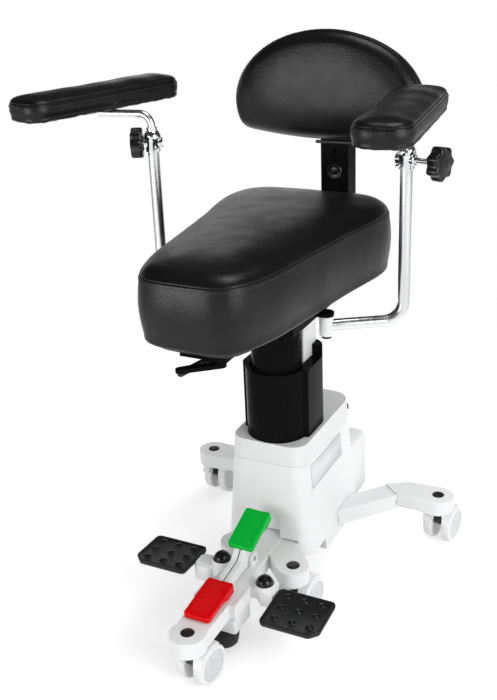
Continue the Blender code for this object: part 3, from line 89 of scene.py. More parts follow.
# Mirrors show the white backdrop up to a low elevation, a dim ceiling over it, and a floor whose white
# ends at both sides behind the stool, as a paper sweep does
CEILING_LIGHT = 0.05
BACKDROP_TOP = (sin(radians(1)), sin(radians(12)))
SWEEP_SIDE = (0.75, 1.0)
SWEEP_BACK = (-0.25, 0.1)
SET_ASIDE = (cos(CAMERA_YAW), -sin(CAMERA_YAW), 0.0)
SET_AHEAD = (sin(CAMERA_YAW), cos(CAMERA_YAW), 0.0)


# Materials

NOISE_MIDDLE = (0.3, 0.7)
CLOUD_GLOSS = (0.85, 1.2)
TINT_SHARES = (0.965, 1.02)
METAL_GLOSS = (0.7, 1.5)
CHROME_STREAK = (1.0, 1.0, 0.08)


def adjusted(thing, **settings):
    """A thing with several settings made at once."""
    for setting, value in settings.items():
        setattr(thing, setting, value)
    return thing


class Nodes:
    """The node tree of a material or a world, and short ways to add to it."""

    def __init__(self, owner):
        owner.use_nodes = True
        self.tree = owner.node_tree

    def node(self, kind, inputs=(), **settings):
        """A node with its settings, and with numbers or other nodes' sockets on its inputs."""
        made = adjusted(self.tree.nodes.new("ShaderNode" + kind), **settings)
        for socket, value in dict(inputs).items():
            if isinstance(value, bpy.types.NodeSocket):
                self.tree.links.new(value, made.inputs[socket])
            else:
                made.inputs[socket].default_value = value
        return made

    def mapped(self, value, span, result, kind='LINEAR'):
        """Map a span of values to a result's two ends."""
        ends = dict(zip(("From Min", "From Max", "To Min", "To Max"), (*span, *result)))
        return self.node("MapRange", {"Value": value, **ends}, interpolation_type=kind).outputs[0]


class Look(Nodes):
    """A Principled material with the few nodes that its surface needs."""

    def __init__(self, name, colour, roughness, metallic=0.0, shine=0.5):
        self.material = bpy.data.materials.new(name)
        super().__init__(self.material)
        self.shader = self.tree.nodes["Principled BSDF"]
        self.colour = colour
        plain = {"Base Color": (*colour, 1.0), "Roughness": roughness, "Metallic": metallic,
                 "Specular IOR Level": shine}
        for socket, value in plain.items():
            self.shader.inputs[socket].default_value = value
        self.place = self.node("TexCoord").outputs["Object"]
        self.height = None

    def noise(self, scale, detail=3.0, stretch=(1.0, 1.0, 1.0)):
        place = self.node("Mapping", {"Vector": self.place, "Scale": stretch}).outputs[0]
        return self.node("TexNoise", {"Vector": place, "Scale": scale, "Detail": detail}).outputs["Fac"]

    def cells(self, scale):
        inputs = {"Vector": self.place, "Scale": scale}
        return self.node("TexVoronoi", inputs, feature='SMOOTH_F1').outputs["Distance"]

    def vary_roughness(self, value, low, high):
        spread = self.mapped(value, NOISE_MIDDLE, (low, high))
        self.tree.links.new(spread, self.shader.inputs["Roughness"])

    def vary_colour(self, value, low, high):
        """Darken and lighten the colour by a share."""
        spread = self.mapped(value, NOISE_MIDDLE, (0.0, 1.0))
        ends = [(*(c * share for c in self.colour), 1.0) for share in (low, high)]
        mix = self.node("Mix", {"Factor": spread, "A": ends[0], "B": ends[1]}, data_type='RGBA')
        self.tree.links.new(mix.outputs["Result"], self.shader.inputs["Base Color"])

    def bump(self, value, depth):
        """Add a height in metres on top of earlier ones."""
        inputs = {"Height": value, "Distance": depth, "Strength": 1.0}
        if self.height is not None:
            inputs["Normal"] = self.height
        self.height = self.node("Bump", inputs).outputs["Normal"]
        self.tree.links.new(self.height, self.shader.inputs["Normal"])


def moulded(name, colour, roughness, grain, depth, shine=0.5):
    """Moulded or painted surface: cloudy gloss and a fine orange peel of a scale and depth."""
    look = Look(name, colour, roughness, shine=shine)
    look.vary_roughness(look.noise(scale=18.0), *(roughness * share for share in CLOUD_GLOSS))
    look.vary_colour(look.noise(scale=7.0), *TINT_SHARES)
    look.bump(look.noise(grain, detail=2.0), depth)
    return look


def leather(name):
    """Soft black leather: pores, a rolling grain and a little wear in the gloss."""
    look = Look(name, (0.0045, 0.0045, 0.0048), 0.32, shine=0.3)
    look.vary_roughness(look.noise(scale=26.0, detail=6.0), low=0.3, high=0.36)
    look.vary_colour(look.noise(scale=11.0, detail=5.0), low=0.8, high=1.25)
    look.bump(look.noise(scale=70.0, detail=3.0), depth=0.00025)
    look.bump(look.noise(scale=340.0, detail=2.0), depth=0.0003)
    look.bump(look.cells(scale=620.0), depth=0.00012)
    return look


def metal(name, colour, roughness, streak, depth):
    """Bright metal with faint polishing streaks."""
    look = Look(name, colour, roughness, metallic=1.0)
    clouds = look.noise(scale=60.0, detail=4.0, stretch=streak)
    look.vary_roughness(clouds, *(roughness * share for share in METAL_GLOSS))
    look.bump(look.noise(scale=300.0, detail=2.0, stretch=streak), depth)
    return look


def plywood(name):
    """Dark board with a long grain."""
    look = Look(name, (0.014, 0.012, 0.01), 0.6)
    look.vary_colour(look.noise(scale=30.0, detail=6.0, stretch=(1.0, 0.08, 6.0)), low=0.75, high=1.15)
    look.bump(look.noise(scale=220.0, detail=4.0, stretch=(1.0, 0.1, 1.0)), depth=0.0002)
    return look


# Name, colour, roughness, scale and depth of the grain, and the share of mirror shine
WHITE = moulded("white_enamel", (0.84, 0.845, 0.85), 0.33, 900.0, 0.00004, shine=0.4)
CASTER_WHITE = moulded("white_plastic", (0.86, 0.86, 0.865), 0.3, 700.0, 0.00003)
LABEL_GREY = moulded("label_grey", (0.78, 0.787, 0.8), 0.35, 700.0, 0.00003)
PALE_GREY = moulded("pale_grey_plastic", (0.8, 0.805, 0.81), 0.38, 900.0, 0.00005)
INSET_GREY = moulded("inset_grey", (0.68, 0.69, 0.7), 0.42, 800.0, 0.00005)
BLACK_GLOSS = moulded("black_metal", (0.006, 0.006, 0.0065), 0.16, 500.0, 0.00003, shine=0.015)
BLACK_SATIN = moulded("black_plastic", (0.01, 0.01, 0.011), 0.34, 1100.0, 0.00006, shine=0.32)
KNOB_BLACK = moulded("knob_black", (0.008, 0.008, 0.0085), 0.2, 900.0, 0.00003, shine=0.4)
RUBBER = moulded("black_rubber", (0.016, 0.016, 0.017), 0.62, 1300.0, 0.0001, shine=0.3)
DARK_CAP = moulded("dark_cap", (0.022, 0.017, 0.017), 0.28, 900.0, 0.00003, shine=0.4)
# Near-black for the clamp's pin hole: painted shade where the hole lies in shadow
PAINTED_HOLE_SHADE = moulded("painted_hole_shade", (0.004, 0.004, 0.004), 0.6, 900.0, 0.00003, shine=0.2)
RED = moulded("red_plastic", (0.71, 0.0005, 0.003), 0.24, 800.0, 0.00003, shine=0.12)
GREEN = moulded("green_plastic", (0.0005, 0.48, 0.042), 0.24, 800.0, 0.00003, shine=0.12)
LEATHER = leather("black_leather")
THREAD = moulded("thread", (0.028, 0.028, 0.03), 0.5, 1500.0, 0.00006)
SATIN_CHROME = metal("satin_chrome", (0.74, 0.745, 0.755), 0.24, CHROME_STREAK, 0.000001)
CHROME = metal("chrome", (0.8, 0.805, 0.815), 0.14, CHROME_STREAK, 0.000002)
STEEL = metal("steel", (0.56, 0.57, 0.59), 0.28, (1.0, 1.0, 0.2), 0.000012)
PLY = plywood("plywood")


# Shapes, with the angles, profiles and matrices that they share

LEAST_R = 0.00002
PLATE_EDGE = 0.001


def within(value, low, high):
    return min(max(value, low), high)


def mesh_of(name, shape):
    """A mesh of a shape, which is used up."""
    mesh = bpy.data.meshes.new(name)
    shape.to_mesh(mesh)
    shape.free()
    return mesh


def linked(name, data):
    """A new object in the scene."""
    made = bpy.data.objects.new(name, data)
    SCENE.collection.objects.link(made)
    return made


def merged(*shapes):
    """Put several shapes into the first one."""
    whole = shapes[0]
    for shape in shapes[1:]:
        mesh = mesh_of("part", shape)
        whole.from_mesh(mesh)
        bpy.data.meshes.remove(mesh)
    return whole


def skin(bm, rings):
    """Skin rings of equal point counts, and close both ends."""
    loops = [[bm.verts.new(point) for point in ring] for ring in rings]
    count = len(loops[0])
    for lower, upper in zip(loops, loops[1:]):
        for i in range(count):
            j = (i + 1) % count
            bm.faces.new((lower[i], lower[j], upper[j], upper[i]))
    bm.faces.new(loops[0][::-1])
    bm.faces.new(loops[-1])


def skinned(rings):
    bm = bmesh.new()
    skin(bm, rings)
    return bm


def turns(steps):
    """Even angles of a full turn."""
    return [2 * pi * i / steps for i in range(steps)]


def quarter(steps):
    """Even angles of a quarter turn, with both its ends."""
    return [pi / 2 * i / steps for i in range(steps + 1)]


def turned(profile, matrix, steps=40):
    """Turn (radius, height) points, given from the bottom up, about the matrix's Z axis."""
    return skinned([[matrix @ Vector((radius * cos(t), radius * sin(t), height)) for t in turns(steps)]
                    for radius, height in ((max(radius, LEAST_R), height) for radius, height in profile)])


def peg(radius, low, high, edge):
    """The profile of a round peg with a chamfer at its upper end."""
    return [(radius, low), (radius, high - edge), (radius - edge, high)]


def domed(radius, low, rise, steps=8):
    """The profile of a dome."""
    return [(radius * cos(t), low + rise * sin(t)) for t in quarter(steps)]


def standing(point):
    """A matrix on the floor under a point."""
    return Matrix.Translation((point.x, point.y, 0.0))


def along(start, direction):
    """A matrix whose Z axis points along a direction from a start."""
    turn = Vector(direction).normalized().to_track_quat('Z', 'Y').to_matrix().to_4x4()
    return Matrix.Translation(start) @ turn


def pipe(points, radius, sides=28):
    """A round tube through points, with its frame carried along without twist."""
    points = [Vector(p) for p in points]
    rings = []
    aside = None
    for i, point in enumerate(points):
        ahead = (points[min(i + 1, len(points) - 1)] - points[max(i - 1, 0)]).normalized()
        if aside is None:
            aside = ahead.orthogonal().normalized()
        aside = (aside - ahead * aside.dot(ahead)).normalized()
        other = ahead.cross(aside)
        rings.append([point + radius * (cos(t) * aside + sin(t) * other) for t in turns(sides)])
    return skinned(rings)


def layered(outline, section, matrix=IN_PLACE):
    """Skin an outline at the insets and heights of a section."""
    return skinned([[matrix @ Vector((u, v, height)) for u, v in inset_outline(outline, inset)]
                    for inset, height in section])


def block(outline, low, high, matrix, edge, segments=3):
    """Extrude a flat outline along the matrix's Z axis, and round its rims."""
    rim = [(edge * (1 - sin(t)), edge * (1 - cos(t))) for t in quarter(segments)]
    return layered(outline, [(inset, low + rise) for inset, rise in rim]
                   + [(inset, high - rise) for inset, rise in rim[::-1]], matrix)


def both_sides(outline, inner, outer, matrix):
    """Two plates that mirror each other across the middle."""
    spans = [sorted((side * inner, side * outer)) for side in (1, -1)]
    return [block(outline, low, high, matrix, PLATE_EDGE) for low, high in spans]


# Outlines

RING_REACH = 0.0002


def arc(centre, radius, start, end, steps):
    angles = [start + (end - start) * i / steps for i in range(steps + 1)]
    return [(centre[0] + radius * cos(t), centre[1] + radius * sin(t)) for t in angles]


def rectangle(low, high, radius, steps=6):
    """A rectangle with rounded corners."""
    (x0, y0), (x1, y1) = [c + radius for c in low], [c - radius for c in high]
    corners = ((x1, y0), (x1, y1), (x0, y1), (x0, y0))
    arcs = [arc(corner, radius, (k - 1) * pi / 2, k * pi / 2, steps) for k, corner in enumerate(corners)]
    return sum(arcs, [])


def inset_outline(outline, inset):
    """Move each point of a counterclockwise outline inwards along its own normal."""
    count = len(outline)
    moved = []
    for i, (x, y) in enumerate(outline):
        before, after = Vector(outline[i - 1]), Vector(outline[(i + 1) % count])
        ahead = (after - before).normalized()
        moved.append((x - ahead.y * inset, y + ahead.x * inset))
    return moved


def smooth_closed(points, per_span):
    """A closed Catmull-Rom curve through the points."""
    count = len(points)
    curve = []
    for i in range(count):
        p0, p1, p2, p3 = (Vector(points[(i + k) % count]) for k in (-1, 0, 1, 2))
        for step in range(per_span):
            t = step / per_span
            place = 0.5 * (2 * p1 + (p2 - p0) * t + (2 * p0 - 5 * p1 + 4 * p2 - p3) * t ** 2
                           + (3 * p1 - 3 * p2 + p3 - p0) * t ** 3)
            curve.append((place.x, place.y))
    return curve


def bend_path(points, radius, steps=10):
    """A path through three points with its middle corner turned into an arc."""
    first, corner, last = (Vector(p) for p in points)
    back, ahead = (first - corner).normalized(), (last - corner).normalized()
    half = back.angle(ahead) / 2
    centre = corner + (back + ahead).normalized() * radius / sin(half)
    spoke_in = (corner + back * radius * cos(half) / sin(half) - centre).normalized()
    spoke_out = (corner + ahead * radius * cos(half) / sin(half) - centre).normalized()
    return [first, *(centre + radius * spoke_in.slerp(spoke_out, i / steps) for i in range(steps + 1)), last]


def softened(points, radius, steps=4):
    """A closed outline with its corners turned into arcs."""
    made = []
    for i, corner in enumerate(points):
        around = (points[i - 1], corner, points[(i + 1) % len(points)])
        path = bend_path([Vector((*p, 0.0)) for p in around], radius, steps)
        made += [(p.x, p.y) for p in path[1:-1]]
    return made


def evenly(outline, spacing):
    """A closed outline set out again at an even spacing."""
    points = [Vector(p) for p in outline]
    lengths = [(b - a).length for a, b in zip(points, points[1:] + points[:1])]
    count = round(sum(lengths) / spacing)
    pitch = sum(lengths) / count
    made = []
    walked = 0.0
    for a, b, length in zip(points, points[1:] + points[:1], lengths):
        while len(made) < count and len(made) * pitch < walked + length:
            place = a.lerp(b, (len(made) * pitch - walked) / length)
            made.append((place.x, place.y))
        walked += length
    return made


def relaxed(outline, rounds):
    """A closed outline with its corners evened out."""
    points = [Vector(p) for p in outline]
    for _ in range(rounds):
        points = [(points[i - 1] + 2 * point + points[(i + 1) % len(points)]) / 4
                  for i, point in enumerate(points)]
    return [(p.x, p.y) for p in points]


def cad_ring(node, axis, level):
    """The outline of a CAD solid at a level of one axis, counterclockwise in the two other axes."""
    keep = [other for other in range(3) if other != axis]
    found = {(round(v.co[keep[0]], 5), round(v.co[keep[1]], 5)) for v in NODES[node].data.vertices
             if abs(v.co[axis] - level) < RING_REACH}
    middle = Vector((sum(p[0] for p in found), sum(p[1] for p in found))) / len(found)
    return sorted(found, key=lambda p: atan2(p[1] - middle.y, p[0] - middle.x))


# Pieces

def add_piece(name, shape, body, look, replaces=(), sharp=42):
    """A piece that rides on a body, in place of the CAD nodes that it replaces."""
    bmesh.ops.recalc_face_normals(shape, faces=shape.faces)
    mesh = mesh_of(name, shape)
    mesh.materials.append(look.material)
    mesh.shade_smooth()
    mesh.set_sharp_from_angle(angle=radians(sharp))
    piece = linked(name, mesh)
    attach(piece, body)
    if replaces:
        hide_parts(*replaces)
    return piece


# CAD nodes that keep their shape

def dress(look, slot, *names, edge=0.0015, segments=2):
    """Give CAD nodes a finish, and round their hard edges."""
    for name in names:
        node = NODES[name]
        node.data.materials.clear()
        node.data.materials.append(look.material)
        if "custom_normal" in node.data.attributes:
            node.data.attributes.remove(node.data.attributes["custom_normal"])
        adjusted(node.modifiers.new("weld", 'WELD'), merge_threshold=0.00002)
        adjusted(node.modifiers.new("flat", 'DECIMATE'), decimate_type='DISSOLVE', angle_limit=radians(0.5))
        if edge:
            adjusted(node.modifiers.new("edge", 'BEVEL'), width=edge, segments=segments, harden_normals=True,
                     limit_method='ANGLE', angle_limit=radians(38))
        node.data.shade_smooth()


# Cushions: simulated as held, blown-up cloth, then laid over a finer pad with its seam

PAD_SPACING = 0.005
SWELL_FRAMES = 20
SWELL_CAP = 0.012
SWELL_START = 0.0025
HELD_REACH = 0.005
FOLLOW = 0.003
FOLLOW_CAST = 0.015
SEAM_DEPTH = 0.0018
SEAM_WIDTH = 0.0011
SEAM_LEVELS = (0.012, 0.009, 0.0065, 0.005, 0.0037, 0.0025, 0.0016, 0.0008, 0.0)
STITCH_ROW = SEAM_LEVELS.index(0.0065)
STITCH_PITCH = 0.0058
STITCH_LENGTH = 0.004
STITCH_R = 0.00075
STITCH_SIDES = 6
STITCH_SHAPE = ((-0.5, 0.3), (-0.25, 1.0), (0.25, 1.0), (0.5, 0.3))
FOOT_STEPS = 5
PLAIN_STEPS = 6
ROLL_RINGS = 14
ROLL_EASE = 1.5
ROLL_FLAT = radians(5)
CROWN_RINGS = 12
CROWN_END = 0.97
RIPPLE = 0.0005
RIPPLE_SCALE = 24.0
CREASE_SCALE = 17.0
HEM_RINGS = 3
HEM_WAVE = (0.45, 0.3)
TINY = 1e-9


class Pad(namedtuple("Pad", "outline heart low seam top foot bulge steep crown")):
    """A stuffed pad in its own frame: an outline in the plane, thickness along Z."""

    def rings(self, shrink=0.0):
        """Rings over side, rolled edge and crown, each one's share of the way in, and the stitches' ring."""
        section = [(self.foot * (1 - sin(t)), self.low + self.foot * (1 - cos(t)))
                   for t in quarter(FOOT_STEPS)]
        start = self.low + self.foot
        plain_end = self.seam - SEAM_LEVELS[0]
        plain = [start + (plain_end - start) * i / PLAIN_STEPS for i in range(1, PLAIN_STEPS)]
        levels = plain + [self.seam - step for step in SEAM_LEVELS]
        stitch_ring = len(section) + len(plain) + STITCH_ROW
        section += [(-self.bulge * sin(pi * (z - start) / (self.seam - start)), z) for z in levels]
        shoulder = self.top - self.crown - shrink
        radius = (shoulder - self.seam) / (cos(ROLL_FLAT) - cos(self.steep))
        slopes = [self.steep + (ROLL_FLAT - self.steep) * (i / ROLL_RINGS) ** ROLL_EASE
                  for i in range(1, ROLL_RINGS + 1)]
        section += [(radius * (sin(self.steep) - sin(t)), self.seam + radius * (cos(t) - cos(self.steep)))
                    for t in slopes]
        made = [[Vector((u, v, z)) for u, v in inset_outline(self.outline, inset + shrink)]
                for inset, z in section]
        shares = [0.0] * len(made)
        rim = made[-1]
        for k in range(1, CROWN_RINGS + 1):
            share = CROWN_END * k / CROWN_RINGS
            height = shoulder + self.crown * (1 - (1 - share) ** 2)
            inner = [point.xy.lerp(Vector(self.heart(point)), share) for point in rim]
            made.append([Vector((*point, height)) for point in inner])
            shares.append(share)
        return made, shares, stitch_ring

    def held(self, point):
        return point.z < self.low + HELD_REACH or abs(point.z - self.seam) < HELD_REACH


def swollen(pad):
    """The surface of a slightly small pad, blown up as cloth that is held at its seam and its base."""
    shape = skinned(pad.rings(SWELL_START)[0])
    bmesh.ops.recalc_face_normals(shape, faces=shape.faces)
    cloth = linked("cloth", mesh_of("cloth", shape))
    adjusted(cloth.modifiers.new("remesh", 'REMESH'), mode='VOXEL', voxel_size=0.006)
    cloth.data = bpy.data.meshes.new_from_object(cloth.evaluated_get(bpy.context.evaluated_depsgraph_get()))
    cloth.modifiers.clear()
    start = [v.co.copy() for v in cloth.data.vertices]
    faces = [list(p.vertices) for p in cloth.data.polygons]
    end = start
    group = cloth.vertex_groups.new(name="held")
    group.add([i for i, point in enumerate(start) if pad.held(point)], 1.0, 'ADD')
    modifier = cloth.modifiers.new("swell", 'CLOTH')
    adjusted(modifier.settings, use_pressure=True, uniform_pressure_force=4.0,
             vertex_group_mass=group.name).effector_weights.gravity = 0.0
    adjusted(modifier.point_cache, frame_start=1, frame_end=SWELL_FRAMES)
    for step in range(1, SWELL_FRAMES + 1):
        SCENE.frame_set(step)
    shown = cloth.evaluated_get(bpy.context.evaluated_depsgraph_get())
    end = [v.co.copy() for v in shown.data.vertices]
    SCENE.frame_set(1)
    moved = []
    for before, after in zip(start, end):
        step = after - before
        moved.append(before + step * min(1.0, SWELL_CAP / max(step.length, TINY)))
    bpy.data.objects.remove(cloth)
    return BVHTree.FromPolygons(moved, faces)


def evened(rows, rounds):
    """Even out a value over neighbouring points of a closed grid of rings."""
    for _ in range(rounds):
        above = rows[1:] + rows[-1:]
        below = rows[:1] + rows[:-1]
        rows = [[(row[i] * 2 + row[i - 1] + row[(i + 1) % len(row)] + up[i] + down[i]) / 6
                 for i in range(len(row))] for row, up, down in zip(rows, above, below)]
    return rows


def add_pad(name, node, pad, matrix, hem=0.0, crease=0.0):
    """A padded piece in place of a CAD solid, with a sunk seam and a row of stitches under it."""
    rings, shares, stitch_ring = pad.rings()
    count = len(rings[0])
    shape = skinned(rings)
    bmesh.ops.recalc_face_normals(shape, faces=shape.faces)
    bmesh.ops.triangulate(shape, faces=[face for face in shape.faces if len(face.verts) > 4])
    shape.normal_update()
    shape.verts.ensure_lookup_table()
    surface = swollen(pad)
    reach = []
    for vertex in shape.verts:
        start = vertex.co - vertex.normal * FOLLOW_CAST
        hit = surface.ray_cast(start, vertex.normal, 2 * FOLLOW_CAST)[0]
        step = (hit - vertex.co).dot(vertex.normal) if hit else 0.0
        reach.append(within(step, -FOLLOW, FOLLOW))
    rows = evened([reach[r * count:(r + 1) * count] for r in range(len(rings))], rounds=40)
    calm = sum(rows[-1]) / count
    for r, (row, share) in enumerate(zip(rows, shares)):
        for i, step in enumerate(row):
            vertex = shape.verts[r * count + i]
            off = vertex.co.z - pad.seam
            rise = within((vertex.co.z - pad.low) / pad.foot, 0.0, 1.0)
            ripple = (RIPPLE * noise.noise(vertex.co * RIPPLE_SCALE)
                      + crease * noise.noise(Vector((vertex.co.x / 2, vertex.co.y, 0.0)) * CREASE_SCALE))
            groove = SEAM_DEPTH * exp(-(off / SEAM_WIDTH) ** 2)
            follow = step * (1 - share) + calm * share
            vertex.co += vertex.normal.lerp(UPWARD, share) * ((follow + ripple) * rise - groove)
            if r < HEM_RINGS:
                vertex.co.z += hem * noise.noise(Vector((i * HEM_WAVE[0], r * HEM_WAVE[1], 0.0)))
    shape.normal_update()
    row = [shape.verts[stitch_ring * count + i] for i in range(count)]
    path = [(matrix @ v.co, (matrix.to_3x3() @ v.normal).normalized()) for v in row]
    shape.transform(matrix)
    piece = add_piece(name, shape, BODY_OF[node], LEATHER, [node], sharp=60)
    add_piece(name + "_stitches", stitch_line(path), BODY_OF[node], THREAD)


def stitch_line(path):
    """Short threads at an even pitch along a closed path of places and normals."""
    bm = bmesh.new()
    walked = due = 0.0
    for (here, normal), (there, _) in zip(path, path[1:] + path[:1]):
        ahead = there - here
        length = ahead.length
        ahead.normalize()
        aside = normal.cross(ahead)
        while due < walked + length:
            middle = here + ahead * (due - walked) + normal * STITCH_R / 2
            skin(bm, [[middle + ahead * share * STITCH_LENGTH
                       + STITCH_R * size * (cos(t) * aside + sin(t) * normal) for t in turns(STITCH_SIDES)]
                      for share, size in STITCH_SHAPE])
            due += STITCH_PITCH
        walked += length
    return bm


# Upholstery, in sizes that the frame's solids share

SEAT_FOOT = 0.009
SEAT_SEAM_BELOW = 0.022
SEAT_SPINE = 0.13
SEAT_HEART = 0.1
BACK_RING = 0.0193
BACK_SEAM = 0.029
BACK_HEART_DROP = 0.012
BACK_HEART_IN = 0.11
PAD_RING = 0.007
PAD_FALL = 0.004
PAD_SEAM_BELOW = 0.013
PAD_WIDTH = 0.097
PAD_LENGTH = 0.358
PAD_CORNER = 0.038
PAD_HEART = 0.08
PAD_YAWS = {"right": radians(7), "left": radians(-17.5)}


def cad_outline(node, axis, level, rounds):
    """A CAD solid's outline at a level, smooth and evenly spaced."""
    return relaxed(evenly(smooth_closed(cad_ring(node, axis, level), per_span=6), PAD_SPACING), rounds)


def build_upholstery():
    low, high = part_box("seat_cushion")
    outline = cad_outline("seat_cushion", 2, low.z + SEAT_FOOT, rounds=10)
    front, rear = low.y + SEAT_SPINE, high.y - SEAT_SPINE
    seat = Pad(outline, lambda p: (p.x * SEAT_HEART, within(p.y, front, rear)),
               low.z, high.z - SEAT_SEAM_BELOW, high.z, SEAT_FOOT, bulge=0.006, steep=radians(62),
               crown=0.004)
    add_pad("seat_upholstery", "seat_cushion", seat, IN_PLACE)
    low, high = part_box("back_pad")
    outline = cad_outline("back_pad", 1, low.y + BACK_RING, rounds=12)
    middle = (low.z + high.z) / 2 - BACK_HEART_DROP
    reach = high.x - BACK_HEART_IN
    back = Pad(outline, lambda p: (within(p.x, -reach, reach), middle),
               0.0, BACK_SEAM, high.y - low.y, foot=0.01, bulge=0.003, steep=radians(72), crown=0.0025)
    facing = Matrix(((1, 0, 0, 0), (0, 0, -1, high.y), (0, 1, 0, 0), (0, 0, 0, 1)))
    add_pad("back_upholstery", "back_pad", back, facing)
    half = Vector((PAD_WIDTH, PAD_LENGTH)) / 2
    outline = evenly(rectangle(-half, half, PAD_CORNER, steps=24), PAD_SPACING)
    spine = half.y - half.x
    for side in SIDES:
        node = "arm_pad_" + side
        low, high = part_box(node)
        top = high.z - PAD_FALL
        arm = Pad(outline, lambda p: (p.x * PAD_HEART, within(p.y, -spine, spine)),
                  low.z, top - PAD_SEAM_BELOW, top, PAD_RING, bulge=0.0025, steep=radians(58), crown=0.004)
        place = standing((low + high) / 2) @ Matrix.Rotation(PAD_YAWS[side], 4, 'Z')
        add_pad(f"arm_upholstery_{side}", node, arm, place, hem=0.0018, crease=0.0016)


# Arms, clamps and knobs

ARM_HUB_PROFILE = [(0.0115, -0.018), *peg(0.0125, -0.017, 0.018, edge=0.001)]
WASHER_PROFILE = peg(0.0095, 0.016, 0.02, edge=0.0008)
CLAMP_R = 0.0135
CLAMP_BALL_R = 0.0155
CLAMP_NECK_R = 0.01
CLAMP_BALL_RISE = 0.027
CLAMP_EDGE = 0.001
CLAMP_BOSS_REACH = 0.0175
CLAMP_BOSS_PROFILE = peg(0.0095, 0.0, CLAMP_BOSS_REACH, CLAMP_EDGE)
CLAMP_BACK_PROFILE = [*peg(0.0095, 0.0, 0.0185, CLAMP_EDGE), (0.0065, 0.0185), (0.006, 0.017), (0.0, 0.017)]
CLAMP_PIN = ((0.003, 0.0), (0.003, 0.0185), (0.0022, 0.0195))
CLAMP_PIN_RISE = 0.006
CLAMP_HOLE = ((0.0028, 0.0), (0.0028, 0.0157))
KNOB_R = 0.029
KNOB_THICK = 0.022
KNOB_LOBES = 7
KNOB_DIP = 0.005
KNOB_EDGE = 0.16
KNOB_CAP = ((0.52, -0.002), (0.52, 0.0006), (0.48, 0.0011), (0.1, 0.0016))
KNOB_NECK = ((0.42, -0.002), (0.5, -0.001), (0.55, 0.003))
KNOB_STEM_R = 0.0045
KNOB_STEM_SUNK = 0.004
ROD_DROP = 0.0087
ROD_REACH = {"right": 0.075, "left": 0.105}
ROD_HEADING = {"right": radians(-72), "left": radians(188)}
PAD_PLATE = (0.046, 0.096, 0.0035)


def star(radius, dip, lobes, steps=12):
    """A round outline with lobes."""
    made = []
    for t in turns(lobes * steps):
        reach = radius - dip / 2 + dip / 2 * cos(lobes * t)
        made.append((reach * cos(t), reach * sin(t)))
    return made


def knob(name, node, joint, radius, thick, stem):
    """A lobed grip with a shallow cap on its face and a metal stem behind it."""
    place = along(JOINT_AT[joint], JOINT_AXIS[joint])
    half = thick / 2
    outline = star(radius, KNOB_DIP * radius / KNOB_R, KNOB_LOBES)
    grip = block(outline, -half, half, place, radius * KNOB_EDGE, segments=5)
    cap = turned([(radius * share, half + rise) for share, rise in KNOB_CAP], place)
    neck = turned([(radius * share, rise - half) for share, rise in KNOB_NECK], place)
    add_piece(name, merged(grip, cap, neck), BODY_OF[node], KNOB_BLACK, [node])
    if stem:
        shaft = turned([(KNOB_STEM_R, -half - stem), (KNOB_STEM_R, 0.0)], place, steps=24)
        add_piece(name + "_stem", shaft, BODY_OF[node], CHROME)


def clamp(side, post, heading):
    """A turned clamp with a cross boss and a small pin, and its pin hole drawn as painted shade: a dark rod whose
    end shows on the ball.
    """
    node = "post_clamp_" + side
    low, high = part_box(node)
    ball_z = low.z + CLAMP_BALL_RISE
    lower = -acos(CLAMP_R / CLAMP_BALL_R)
    upper = acos(CLAMP_NECK_R / CLAMP_BALL_R)
    profile = [(CLAMP_R - CLAMP_EDGE, low.z), (CLAMP_R, low.z + CLAMP_EDGE)]
    profile += arc((0.0, ball_z), CLAMP_BALL_R, lower, upper, steps=12)
    profile += [(CLAMP_NECK_R, high.z - CLAMP_EDGE), (CLAMP_NECK_R - CLAMP_EDGE, high.z)]
    body = turned(profile, standing(post))
    level = Vector((*post.xy, JOINT_AT[f"clamp_knob_{side}_turn"].z))
    boss = turned(CLAMP_BOSS_PROFILE, along(level, heading), steps=28)
    end = turned(CLAMP_BACK_PROFILE, along(level, -heading), steps=28)
    aside = (FORWARD - heading).normalized()
    pin = turned(CLAMP_PIN, along(Vector((*post.xy, low.z + CLAMP_PIN_RISE)), aside), steps=20)
    add_piece("clamp_" + side, merged(body, boss, end, pin), BODY_OF[node], CHROME, [node])
    # The pin hole is painted shade: a near-black rod ends just outside the ball, so a dark disc shows where the
    # hole is shaded
    hole = turned(CLAMP_HOLE, along(Vector((*post.xy, ball_z)), FORWARD), steps=20)
    add_piece("clamp_hole_painted_shade_" + side, hole, BODY_OF[node], PAINTED_HOLE_SHADE)


def build_arms():
    for side in SIDES:
        body = "arm_" + side
        pivot = JOINT_AT[f"arm_{side}_swing"]
        post = JOINT_AT[f"pad_{side}_turn"]
        knob_joint = f"clamp_knob_{side}_turn"
        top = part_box("arm_post_" + side)[1].z
        path = bend_path([pivot, (*post.xy, pivot.z), (*post.xy, top)], radius=0.035)
        add_piece("arm_tube_" + side, pipe(path, radius=0.0105), body, SATIN_CHROME,
                  ["arm_post_" + side])
        place = Matrix.Translation(pivot)
        add_piece("arm_hub_" + side, turned(ARM_HUB_PROFILE, place), body, WHITE)
        add_piece("arm_washer_" + side, turned(WASHER_PROFILE, place), body, CHROME)
        clamp(side, post, JOINT_AXIS[knob_joint])
        reach = (JOINT_AT[knob_joint] - post).to_2d().length - KNOB_THICK / 2 - CLAMP_BOSS_REACH
        knob("clamp_grip_" + side, "clamp_knob_" + side, knob_joint, KNOB_R, KNOB_THICK,
             stem=max(reach, 0.0) + KNOB_STEM_SUNK)
        pad_rod(side, post)
    knob("back_grip", "back_knob", "back_knob_turn", radius=0.022, thick=0.0185, stem=0.0)


